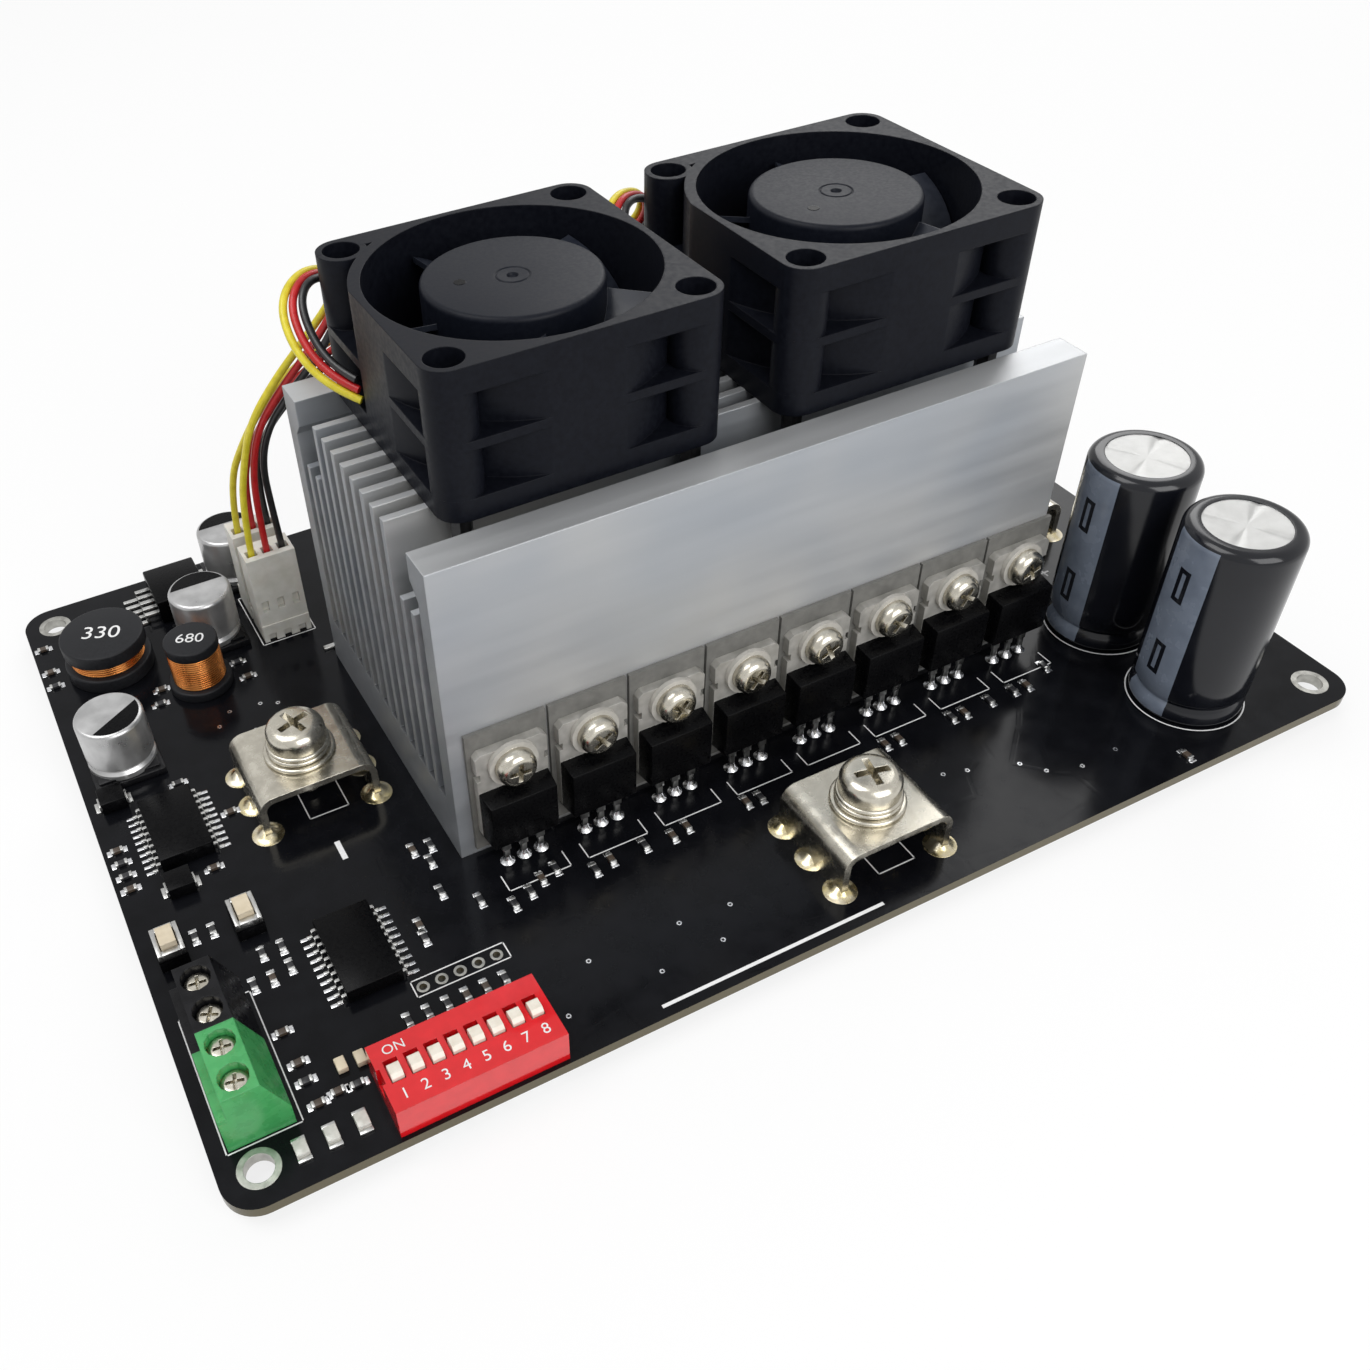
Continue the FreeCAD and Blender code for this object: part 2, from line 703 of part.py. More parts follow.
# Power terminal: a folded sheet arch on six legs, with a hole for its screw
def power_terminal(label, x, y):
    arch = body("Arch")
    out = s.archWidth / 2
    inner = out - s.archSheet
    under = s.archHeight - s.archSheet
    front = outline(sketch(arch, "XZ_Plane", -s.archDepth / 2), [
        (-out, 0), (-inner, 0), (-inner, under), (inner, under), (inner, 0),
        (out, 0), (out, s.archHeight), (-out, s.archHeight)])
    bent = pad(arch, front, s.archDepth)
    outer = fillet(arch, bent, lambda edge: runs_along(edge, "y") and edge.CenterOfMass.z > s.archHeight.number - 0.01,
                   s.archShoulder)
    fillet(arch, outer, lambda edge: runs_along(edge, "y") and abs(edge.CenterOfMass.z - under.number) < 0.01,
           s.archShoulder - s.archSheet)
    gaps = sketch(arch, "YZ_Plane", -out)
    leg = s.archLegWidth / 2
    reach = s.archDepth / 2
    for low, high in ((-reach, -s.archLegPitch - leg), (leg - s.archLegPitch, -leg),
                      (leg, s.archLegPitch - leg), (s.archLegPitch + leg, reach)):
        rectangle(gaps, low, 0, high, s.archLegHeight)
    pocket(arch, gaps, s.archWidth, True)
    hole = many_sided(sketch(arch, "XY_Plane", s.archHeight), 0, 0, s.terminalHoleRadius, 8)
    pocket(arch, hole, s.archSheet)
    finish(label, arch, x, y)


def power_terminals():
    motorX = s.leftMargin + s.motorOffset
    batteryY = s.frontMargin + s.batteryDepth
    places = (("terminal_battery_minus", s.terminalInset, batteryY),
              ("terminal_battery_plus", boardLength - s.terminalRightInset, batteryY),
              ("terminal_motor_front", motorX, s.motorInset),
              ("terminal_motor_back", motorX, boardWidth - s.motorInset))
    washers, springs, screws, nuts = [], [], [], []
    washerTop = s.archHeight + s.washerThickness
    springTop = washerTop + s.springThickness
    clear = s.terminalShankRadius + 0.2
    for label, x, y in places:
        power_terminal(label, x, y)
        disc = prism(x, y, s.archHeight, s.washerRadius, s.washerThickness, 24)
        washers.append(cut(disc, [prism(x, y, s.archHeight, clear, s.washerThickness, 8)]))
        coil = prism(x, y, washerTop, s.springRadius, s.springThickness, 16)
        gap = box(x, y - s.springGap / 2, washerTop, s.springRadius, s.springGap, s.springThickness)
        springs.append(cut(coil, [prism(x, y, washerTop, clear, s.springThickness, 8), gap]))
        head = prism(x, y, springTop, s.terminalHeadRadius, s.terminalHeadHeight, 16)
        shank = prism(x, y, springTop - s.terminalShankLength, s.terminalShankRadius, s.terminalShankLength, 8)
        screws.append(fuse([head, shank]))
        nut = block(x, y, s.archHeight - s.archSheet - s.nutHeight, s.nutAcross, s.nutAcross, s.nutHeight)
        thread = prism(x, y, s.archHeight - s.archSheet - s.nutHeight, s.terminalShankRadius + s.nutClearance,
                       s.nutHeight, 8)
        nuts.append(cut(nut, [thread]))
    finish("terminal_washers", group(washers))
    finish("terminal_spring_washers", group(springs))
    finish("terminal_screws", group(screws))
    finish("terminal_nuts", group(nuts))


# Large capacitor: a sleeved can
def capacitor(label, x, y):
    finish(label, prism(0, 0, 0, s.capacitorRadius, s.capacitorHeight, 32), x, y)


# Small can: an aluminium can on a square base with two cut corners
def small_can(x, y):
    foot = block(x, y, 0, s.canBase, s.canBase, s.canBaseHeight)
    corner = s.canBaseCorner * math.sqrt(2)
    corners = []
    for side in (-1, 1):
        item = doc.addObject("Part::Box", "Corner")
        bind(item, Length=corner, Width=corner, Height=s.canBaseHeight)
        item.Placement = FreeCAD.Placement(FreeCAD.Vector(), FreeCAD.Rotation(FreeCAD.Vector(0, 0, 1), 45))
        corners.append(place(item, x + side * s.canBase / 2, y - s.canBase / 2 - s.canBaseCorner, 0))
    can = prism(x, y, s.canBaseHeight / 2, s.canRadius, s.canHeight - s.canBaseHeight / 2, 28)
    return fuse([cut(foot, corners), can])


# Choke: a drum core between two flanges, with its winding round the neck
def choke(label, x, y, wide, tall):
    neck = wide * s.chokeNeck
    foot = prism(0, 0, 0, wide + s.chokeBaseLip, s.chokeFlange, 24)
    head = prism(0, 0, tall - s.chokeFlange, wide, s.chokeFlange, 24)
    finish(label, fuse([foot, prism(0, 0, 0, neck, tall), head]), x, y)
    low = s.chokeFlange + s.chokeGap
    coil = prism(x, y, low, wide - s.windingInset, tall - s.chokeFlange - s.chokeGap - low, 20)
    return cut(coil, [prism(x, y, low, neck + s.chokeGap, tall)])


# Chip package with ten gull-wing pins on each long side
def chip_package(label, x, y):
    chip = body("Chip")
    half = s.chipWidth / 2
    long = s.chipLength / 2
    slope = s.chipEdgeSlope
    middle = s.chipHeight * 0.5
    case = outline(sketch(chip, "XZ_Plane", -long), [
        (slope - half, s.chipStandoff), (half - slope, s.chipStandoff), (half, middle),
        (half - slope, s.chipHeight), (slope - half, s.chipHeight), (-half, middle)])
    pad(chip, case, s.chipLength)
    tall = s.chipPinThickness
    reach = half + s.chipPinReach
    first = -4.5 * s.chipPinPitch - s.chipPinWidth / 2
    knee = reach - s.chipPinFoot
    for side in (-1, 1):
        feet = outline(sketch(chip, "XZ_Plane", -(first + s.chipPinWidth)), [
            (side * (half - 0.3), middle - tall / 2), (side * reach, tall), (side * reach, 0),
            (side * knee, 0), (side * (half - 0.3), middle - tall * 1.5)])
        pin = pad(chip, feet, s.chipPinWidth)
        guide = sketch(chip, "YZ_Plane")
        repeat(chip, [pin], guide, "H_Axis", 10, s.chipPinPitch)
    finish(label, chip, x, y)


# Regulator: a flat power package with a tab to the right and five leads to the left
def regulator(x, y):
    low = s.regulatorHeight * 0.3
    case = box(x, y - s.regulatorWidth / 2, 0.1, s.regulatorLength, s.regulatorWidth, s.regulatorHeight - 0.1)
    tab = box(x + s.regulatorLength - 1, y - s.regulatorWidth / 2, 0, s.regulatorTab + 1, s.regulatorWidth, 1.3)
    pieces = [case, tab]
    for step in range(-2, 3):
        at = y + step * s.regulatorLeadPitch - s.regulatorLeadWidth / 2
        pieces.append(box(x - s.regulatorLeadReach / 2, at, low, s.regulatorLeadReach / 2 + 0.5, s.regulatorLeadWidth, 0.5))
        pieces.append(box(x - s.regulatorLeadReach / 2, at, 0, 0.5, s.regulatorLeadWidth, low + 0.5))
        pieces.append(box(x - s.regulatorLeadReach, at, 0, s.regulatorLeadReach / 2 + 0.5, s.regulatorLeadWidth, 0.5))
    finish("regulator", fuse(pieces))


# Push button: a dark body under a metal plate, and a plunger that travels through the plate
def push_button(name, x, y):
    base = block(x, y, 0, s.buttonWidth, s.buttonDepth, s.buttonBody)
    plate = block(x, y, s.buttonBody, s.buttonWidth - 2 * s.buttonPlateInset, s.buttonDepth - 2 * s.buttonPlateInset,
                  s.buttonPlate - s.buttonBody)
    wide = s.plungerWidth + 2 * s.plungerClearance
    deep = s.plungerDepth + 2 * s.plungerClearance
    seat = s.buttonBody - s.plungerTravel - s.plungerClearance
    well = block(x, y, seat, wide, deep, s.plungerTop)
    low = seat + s.plungerTravel + s.plungerClearance
    finish(f"button_plunger_{name}", block(x, y, low, s.plungerWidth, s.plungerDepth, s.plungerTop - low))
    return cut(fuse([base, plate]), [well])


# DIP switch: a housing with eight slots and a slider in each
def dip_switch():
    housing = body("Switch")
    long = s.switchLength
    deep = s.switchDepth
    pad(housing, rectangle(sketch(housing, "XY_Plane"), 0, 0, long, deep), s.switchHeight)
    wide = s.sliderWidth + 2 * s.sliderClearance
    span = s.sliderDepth + s.sliderTravel + 2 * s.sliderClearance
    first = (long - 7 * s.sliderPitch) / 2
    floor = s.switchHeight - s.sliderSunk - s.sliderClearance
    start = s.sliderFront - s.sliderClearance
    slot = rectangle(sketch(housing, "XY_Plane", s.switchHeight), first - wide / 2, start, first + wide / 2, start + span)
    well = pocket(housing, slot, s.switchHeight - floor)
    repeat(housing, [well], slot, "H_Axis", 8, s.sliderPitch)
    key = rectangle(sketch(housing, "XY_Plane", s.switchHeight), 0, s.switchDepth * 0.42, 0.45, s.switchDepth * 0.64)
    pocket(housing, key, s.switchHeight * 0.6)
    finish("switch_housing", housing, s.switchLeft, s.switchFront)
    for step in range(8):
        knob = body("Slider")
        low = s.switchHeight - s.sliderSunk
        top = s.switchHeight + s.sliderProud
        profile = outline(sketch(knob, "YZ_Plane", -s.sliderWidth / 2), [
            (0, low), (s.sliderDepth, low), (s.sliderDepth, top - 0.15), (s.sliderDepth - 0.15, top),
            (0.45, top), (0, top - 0.45)])
        pad(knob, profile, s.sliderWidth)
        finish(f"switch_slider_{step + 1}", knob, s.switchLeft + first + step * s.sliderPitch, s.switchFront + s.sliderFront)


# Two-way screw block: a stepped housing with a sloping right side, open to the left for the wires
def screw_block(label, y):
    shell = body("Block")
    wide = s.blockWidth
    long = 2 * s.blockPitch
    ledge = s.blockLedge
    tall = s.blockHeight
    profile = outline(sketch(shell, "XZ_Plane", -long), [
        (0, 0), (wide, 0), (wide, s.blockToe), (ledge + s.blockTopWidth, tall), (ledge, tall),
        (ledge, s.blockLedgeHeight), (0, s.blockLedgeHeight)])
    pad(shell, profile, long)
    middle = ledge + s.blockTopWidth / 2
    well = sketch(shell, "XY_Plane", tall)
    many_sided(well, middle, s.blockPitch / 2, s.blockScrewRadius + s.blockScrewClearance)
    repeat(shell, [pocket(shell, well, s.blockScrewDepth + s.blockScrewSunk)], well, "V_Axis", 2, s.blockPitch)
    half = s.blockWindow / 2
    window = rectangle(sketch(shell, "YZ_Plane"), s.blockPitch / 2 - half, 0.9, s.blockPitch / 2 + half, 0.9 + s.blockWindow)
    mouth = pocket(shell, window, s.blockWindowDepth, True)
    repeat(shell, [mouth], window, "H_Axis", 2, s.blockPitch)
    finish(label, shell, s.blockLeft, y)
    top = tall - s.blockScrewSunk
    return [prism(s.blockLeft + middle, y + (step + 0.5) * s.blockPitch, top - s.blockScrewDepth,
                  s.blockScrewRadius, s.blockScrewDepth) for step in (0, 1)]


# Fan connector: a pin header with a locking wall, and the crimp housing pushed onto it
def fan_connectors():
    headers = []
    for row, name in ((0, "front"), (1, "back")):
        y = s.plugFront + row * s.plugRow
        middle = s.plugLeft + s.plugWidth / 2
        base = box(s.plugLeft, y - 0.2, 0, s.plugWidth, s.headerBaseDepth, s.headerBaseHeight)
        wall = box(s.plugLeft + 1, y + s.headerBaseDepth - 0.2 - s.headerWall, s.headerBaseHeight - 0.5, s.plugWidth - 2,
                   s.headerWall, s.headerWallTop - s.headerBaseHeight + 0.5)
        slots = [box(middle + step * s.plugPitch - 0.6, y - 0.2, 0, 1.2, 0.7, 1.4) for step in (-1, 0, 1)]
        headers.append(cut(fuse([base, wall]), slots))
        low = s.headerBaseHeight
        shell = box(s.plugLeft, y, low, s.plugWidth, s.plugDepth, s.plugTop - low)
        latches = []
        for step in (-1, 0, 1):
            at = middle + step * s.plugPitch
            latches.append(box(at - 0.55, y, low + 2.6, 1.1, 0.8, 2.0))
            latches.append(box(at - 0.85, y + s.plugWireDepth - 0.85, s.plugTop - 1.6, 1.7, 1.7, 1.6))
        finish(f"fan_plug_{name}", cut(shell, latches))
    finish("fan_headers", group(headers))


# Small surface parts. Each row is listed by its places on the board; a turned part lies across the board.
def small_parts():
    lying = [(27.1 + 2.62 * step, 14.6) for step in range(6)]
    lying += [(14.4, 33.2), (17.0, 29.5), (17.0, 33.0), (14.4, 28.8), (11.9, 28.9), (46.4, 24.7), (49.2, 25.6),
              (51.5, 26.8), (53.9, 27.5), (34.0, 27.5), (33.8, 25.3), (7.4, 40.0), (9.8, 40.0), (38.2, 39.9),
              (40.7, 39.6), (39.6, 36.9), (38.7, 31.3), (42.7, 27.5)]
    lying += [(58.5, 24.7), (61.2, 25.2), (66.4, 25.2), (70.6, 24.8), (73.2, 25.4), (82.8, 25.2), (85.0, 25.0),
              (106.5, 25.0), (108.9, 24.9), (118.4, 24.8), (120.7, 24.7), (125.6, 24.9), (130.1, 25.0),
              (132.6, 24.8), (137.8, 26.8), (141.9, 2.3)]
    across = [(12.9, 20.5), (13.2, 15.5), (13.2, 12.7), (13.5, 9.2), (16.1, 9.6), (18.5, 9.4)]
    across += [(1.8, 52.1 + 2.6 * step) for step in range(4)]
    across += [(13.1, 50.3), (18.2, 59.3), (13.1, 68.6), (1.2, 99.4), (1.6, 103.2), (1.6, 109.6), (16.4, 90.2),
               (15.4, 86.9), (29.4, 86.4), (28.9, 90.6)]
    chips = [block(x, y, 0, s.smallChipWidth, s.smallChipLength, s.smallChipHeight) for x, y in lying]
    chips += [block(x, y, 0, s.smallChipLength, s.smallChipWidth, s.smallChipHeight) for x, y in across]
    finish("chip_parts", group(chips))
    leds = []
    for x in (9.8, 13.5, 17.2):
        foot = block(x, 4.45, 0, s.ledWidth, s.ledLength, s.ledHeight * 0.5)
        lens = block(x, 4.45, s.ledHeight * 0.5, s.ledWidth, s.ledLength * 0.62, s.ledHeight * 0.5)
        leds.append(fuse([foot, lens]))
    finish("indicator_leds", group(leds))
    diodes = []
    for x, y in ((8.2, 49.2), (3.8, 69.4)):
        case = block(x, y, 0.2, s.diodeLength * 0.85, s.diodeWidth, s.diodeHeight - 0.2)
        strap = block(x, y, 0, s.diodeLength + 1, s.diodeWidth * 0.55, 0.4)
        diodes.append(fuse([case, strap]))
    finish("diodes", group(diodes))


# Solder joints under the board. The board rests on those of the power terminals, which are longer.
def solder_joints():
    motorX = s.leftMargin + s.motorOffset
    batteryY = s.frontMargin + s.batteryDepth
    leg = (s.archWidth - s.archSheet) / 2
    long = []
    for x, y in ((s.terminalInset, batteryY), (boardLength - s.terminalRightInset, batteryY),
                 (motorX, s.motorInset), (motorX, boardWidth - s.motorInset)):
        for side in (-leg, leg):
            long += [tail(x + side, y + step * s.archLegPitch, s.leadTail) for step in (-1, 0, 1)]
    finish("terminal_solder", group(long))
    spots = []
    first = s.leftMargin + s.transistorFirst
    row = s.insulatorThickness + s.leadDepth + s.leadThickness / 2
    for number in range(8):
        for pin in (-1, 0, 1):
            x = first + number * s.transistorPitch + pin * s.leadPitch
            spots += [(x, s.frontMargin - row), (x, s.frontMargin + s.heatsinkDepth + row)]
    middle = s.plugLeft + s.plugWidth / 2
    for pin in (-1, 0, 1):
        for line in (0, 1):
            spots.append((middle + pin * s.plugPitch, s.plugFront + line * s.plugRow + s.plugDepth / 2))
    for number in range(8):
        x = s.switchLeft + (s.switchLength - 7 * s.sliderPitch) / 2 + number * s.sliderPitch
        spots += [(x, s.switchFront + 1.0), (x, s.switchFront + s.switchDepth - 1.0)]
    for number in range(4):
        spots.append((s.blockLeft + s.blockWidth / 2, s.blockFront + (number + 0.5) * s.blockPitch))
    for inset, deep in ((s.capacitorBackInset, s.capacitorBackDepth), (s.capacitorFrontInset, s.capacitorFrontDepth)):
        spots += [(boardLength - inset - 3.75, deep), (boardLength - inset + 3.75, deep)]
    finish("lead_solder", group([tail(x, y, s.shortTail) for x, y in spots]))


# A wire, four-sided here: straight runs joined by arcs that touch both runs
def wire(label, route):
    points = [FreeCAD.Vector(*spot) for spot in route]
    start = points[0]
    edges = []
    radii = []
    for before, corner, after in zip(points, points[1:], points[2:]):
        into = (corner - before).normalize()
        out = (after - corner).normalize()
        half = into.getAngle(out) / 2
        setback = 0.45 * min((corner - before).Length, (after - corner).Length)
        radii.append(setback / math.tan(half))
        middle = corner + (out - into).normalize() * (radii[-1] / math.cos(half) - radii[-1])
        enter = corner - into * setback
        leave = corner + out * setback
        edges.append(Part.LineSegment(start, enter).toShape())
        edges.append(Part.Arc(enter, middle, leave).toShape())
        start = leave
    edges.append(Part.LineSegment(start, points[-1]).toShape())
    path = Part.Wire(edges)
    radius = s.wireRadius.number
    round_section = Part.Circle(points[0], points[1] - points[0], radius)
    face = Part.makePolygon([round_section.value(math.tau * i / 4) for i in range(5)])
    tube = path.makePipeShell([face], True, False)
    item = doc.addObject("Part::Feature", label)
    item.Shape = tube
    whole = 2 * radius ** 2 * path.Length
    print(label, f"length {path.Length:.1f}", f"volume {tube.Volume / whole:.4f}", [round(r, 1) for r in radii])
    finish(label, item)


# The three wires of a lead run side by side: each point of a route gives the middle wire's place
# and the direction from the middle wire to the black one
def lead(side, route, plug):
    middle = s.plugLeft.number + s.plugWidth.number / 2
    y = s.plugFront.number + plug * s.plugRow.number + s.plugWireDepth.number
    entry = s.plugTop.number - 1.4
    for index, name in ((-1, "yellow"), (0, "red"), (1, "black")):
        space = index * s.wireSpacing.number
        points = [(x + space * dx, y0 + space * dy, z + space * dz) for x, y0, z, dx, dy, dz in route]
        pin = middle + index * s.plugPitch.number
        points += [(pin - index * 0.35, y - 0.2, entry + 10.0), (pin, y, entry)]
        wire(f"wire_{side}_{name}", points)


# Route out of a fan's left side and round its back-left post, from the fan's middle
def post_loop(x, y):
    loop = [(-19.15, 7.0, 5.4, 0.0, 0.3, 0.9), (-21.6, 9.9, 6.5, 0.5, 0.2, 0.7), (-23.3, 14.6, 9.4, 0.95, -0.1, 0.3),
            (-22.9, 19.2, 13.2, 0.85, -0.5, 0.0), (-19.4, 22.3, 14.9, 0.1, -1.0, 0.0), (-14.7, 23.6, 13.3, 0.0, -1.0, 0.0),
            (-14.4, 25.4, 8.7, 0.1, -1.0, -0.1)]
    top = s.heatsinkHeight.number
    return [(x.number + px, y.number + py, top + pz, dx, dy, dz) for px, py, pz, dx, dy, dz in loop]


def wires():
    middle = s.frontMargin + s.heatsinkDepth / 2
    left = post_loop(s.leftMargin + s.fanLeftOffset, middle + s.fanLeftShift)
    left += [(49.8, 88.4, 50.6, 0.55, -0.6, -0.58), (44.9, 90.2, 44.9, 0.75, -0.2, -0.63),
             (40.9, 92.0, 39.0, 0.91, 0.0, -0.41), (39.2, 94.0, 32.2, 0.97, 0.0, -0.2)]
    lead("left", left, 0)
    right = post_loop(s.leftMargin + s.fanRightOffset, middle + s.fanRightShift)
    right += [(95.8, 87.8, 53.6, 0.0, -1.0, 0.0), (87.0, 88.0, 53.2, 0.0, -1.0, 0.0), (74.0, 88.2, 54.0, 0.0, -1.0, 0.0),
              (62.0, 89.2, 51.8, 0.2, -0.97, -0.1), (52.6, 91.8, 47.4, 0.45, -0.8, -0.4),
              (45.8, 95.4, 41.2, 0.75, -0.35, -0.55), (41.2, 98.8, 33.6, 0.95, 0.0, -0.3)]
    lead("right", right, 1)


circuit_board()
heatsink()
fans()
transistors()
power_terminals()
capacitor("capacitor_back", boardLength - s.capacitorBackInset, s.capacitorBackDepth)
capacitor("capacitor_front", boardLength - s.capacitorFrontInset, s.capacitorFrontDepth)
finish("small_cans", group([small_can(7.3, 76.9), small_can(27.2, 99.1), small_can(36.0, 113.4)]))
windings = [choke("choke_core_wide", 10.9, 100.4, s.chokeWideRadius, s.chokeWideHeight)]
windings.append(choke("choke_core_tall", 22.6, 88.9, s.chokeTallRadius, s.chokeTallHeight))
finish("choke_windings", group(windings))
chip_package("chip_left", 10.5, 59.4)
chip_package("chip_front", 25.35, 26.9)
regulator(21.0, 111.4)
finish("button_frames", group([push_button("left", 4.1, 39.0), push_button("right", 14.3, 39.0)]))
dip_switch()
block_screws = screw_block("signal_block_front", s.blockFront)
block_screws += screw_block("signal_block_back", s.blockFront + 2 * s.blockPitch)
finish("block_screws", group(block_screws))
fan_connectors()
small_parts()
solder_joints()
wires()

doc.recompute()
for item in doc.Objects:
    if "Invalid" in item.State or "Error" in item.State:
        raise RuntimeError(f"{item.Name} ({item.Label}) failed: {item.State}")
os.makedirs("parts", exist_ok=True)
for item in nodes:
    if item.Shape.isNull() or not item.Shape.isValid():
        raise RuntimeError(f"{item.Label} has no valid shape")
    item.Shape.exportStep(f"parts/{item.Label}.step")
print(len(nodes), "nodes")
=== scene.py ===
import bmesh
import bpy
import math
import random
from mathutils import Euler, Matrix, Vector

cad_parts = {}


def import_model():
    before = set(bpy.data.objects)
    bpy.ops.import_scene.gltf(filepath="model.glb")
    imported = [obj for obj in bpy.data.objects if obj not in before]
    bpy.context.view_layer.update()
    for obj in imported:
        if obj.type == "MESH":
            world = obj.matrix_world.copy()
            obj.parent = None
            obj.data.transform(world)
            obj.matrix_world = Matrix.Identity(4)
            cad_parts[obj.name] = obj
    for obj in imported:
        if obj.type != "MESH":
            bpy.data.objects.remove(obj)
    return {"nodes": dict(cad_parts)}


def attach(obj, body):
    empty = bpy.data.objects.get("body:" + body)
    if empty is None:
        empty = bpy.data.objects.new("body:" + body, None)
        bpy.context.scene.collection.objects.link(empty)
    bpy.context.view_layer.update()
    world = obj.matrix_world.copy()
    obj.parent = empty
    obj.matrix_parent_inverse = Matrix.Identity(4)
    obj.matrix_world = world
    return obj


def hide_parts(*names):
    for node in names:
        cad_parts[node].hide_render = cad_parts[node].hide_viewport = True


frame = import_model()
nodes = frame["nodes"]
scene = bpy.context.scene
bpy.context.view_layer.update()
random.seed(4)

# Lengths are in millimetres on the board: x from its left edge, y from its front edge, z from its top face
board = {"length": 174.0, "width": 120.0, "thick": 1.6, "tail": 2.2, "holeInset": 4.8, "holeRadius": 1.85,
         "ringRadius": 2.6, "ringThick": 0.03}
toMetres = Matrix.Scale(0.001, 4) @ Matrix.Translation(
    (-board["length"] / 2, -board["width"] / 2, board["tail"] + board["thick"]))
sink = {"left": 43.6, "front": 35.4, "depth": 49.3, "height": 48.1}


# Drawing helpers: each adds a shape to a bmesh and gives its faces one of the piece's coats
def paint(verts, coat):
    faces = {face for vert in verts for face in vert.link_faces}
    for face in faces:
        face.material_index = coat
    return faces


def block(drawn, x, y, z, length, width, height, coat=0, bevel=0.0, turn=0.0):
    spot = Matrix.LocRotScale((x, y, z + height / 2), Euler((0, 0, turn)), (length, width, height))
    made = bmesh.ops.create_cube(drawn, size=1, matrix=spot)["verts"]
    faces = paint(made, coat)
    if bevel:
        edges = list({edge for face in faces for edge in face.edges})
        bmesh.ops.bevel(drawn, geom=edges, offset=bevel, offset_type="OFFSET", segments=2, profile=0.5,
                        affect="EDGES", material=-1, clamp_overlap=True)


def lathe(drawn, outline, steps=32, coat=0, spot=(0, 0, 0)):
    verts = [drawn.verts.new((radius, 0, z)) for radius, z in outline]
    edges = [drawn.edges.new(pair) for pair in zip(verts, verts[1:])]
    before = set(drawn.verts)
    bmesh.ops.spin(drawn, geom=verts + edges, cent=(0, 0, 0), axis=(0, 0, 1), angle=math.tau, steps=steps,
                   use_merge=True, use_duplicate=False)
    made = verts + [vert for vert in drawn.verts if vert not in before]
    made = [vert for vert in made if vert.is_valid]
    bmesh.ops.remove_doubles(drawn, verts=made, dist=1e-4)
    made = [vert for vert in made if vert.is_valid]
    faces = paint(made, coat)
    bmesh.ops.recalc_face_normals(drawn, faces=list(faces))
    bmesh.ops.translate(drawn, verts=made, vec=spot)
    return made


def ringAt(drawn, place, inner, outer, height, coat=0, steps=32):
    made = lathe(drawn, [(inner, 0), (outer, 0), (outer, height), (inner, height), (inner, 0)], steps, coat)
    bmesh.ops.transform(drawn, matrix=place, verts=made)


def ring(drawn, x, y, z, *sizes):
    ringAt(drawn, Matrix.Translation((x, y, z)), *sizes)


def disc(drawn, x, y, z, radius, height, coat=0, steps=24):
    lathe(drawn, [(0, 0), (radius, 0), (radius, height), (0, height)], steps, coat, (x, y, z))


def arc(centre, middle, radius, start, end, count):
    angles = [math.radians(start + (end - start) * i / count) for i in range(count + 1)]
    return [(centre + radius * math.cos(a), middle + radius * math.sin(a)) for a in angles]


def stamp(drawn, pattern, places):
    for place in places:
        copy = pattern.copy()
        copy.transform(place)
        drawn.from_mesh(copy)
        bpy.data.meshes.remove(copy)


def asMesh(name, drawn):
    mesh = bpy.data.meshes.new(name)
    drawn.to_mesh(mesh)
    drawn.free()
    return mesh


# Applies each closed bmesh in turn to the first one
def combined(name, whole, steps):
    base = bpy.data.objects.new(name, asMesh(name, whole))
    scene.collection.objects.link(base)
    tools = []
    for operation, drawn in steps:
        tool = bpy.data.objects.new(name + "Tool", asMesh(name + "Tool", drawn))
        scene.collection.objects.link(tool)
        tools.append(tool)
        change = base.modifiers.new(operation, "BOOLEAN")
        change.object = tool
        change.operation = operation
        change.solver = "EXACT"
    ready = base.evaluated_get(bpy.context.evaluated_depsgraph_get())
    mesh = bpy.data.meshes.new_from_object(ready)
    for item in tools + [base]:
        bpy.data.objects.remove(item)
    return mesh


def piece(name, drawn, coats, body="module", stands=(), sharp=32):
    bmesh.ops.transform(drawn, matrix=toMetres, verts=drawn.verts)
    mesh = asMesh(name, drawn)
    mesh.shade_smooth()
    mesh.set_sharp_from_angle(angle=math.radians(sharp))
    made = bpy.data.objects.new(name, mesh)
    scene.collection.objects.link(made)
    for coat in coats:
        mesh.materials.append(coat)
    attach(made, body)
    if stands:
        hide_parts(*stands)
    return made


# Node helpers, for a group's tree or a finish
def put(tree, kind, inputs=None, **settings):
    node = tree.nodes.new(kind)
    for name, value in settings.items():
        setattr(node, name, value)
    for name, value in (inputs or {}).items():
        if isinstance(value, bpy.types.NodeSocket):
            tree.links.new(value, node.inputs[name])
        else:
            node.inputs[name].default_value = value
    return node


def add(finish, kind, inputs=None, **settings):
    return put(finish.node_tree, kind, inputs, **settings)


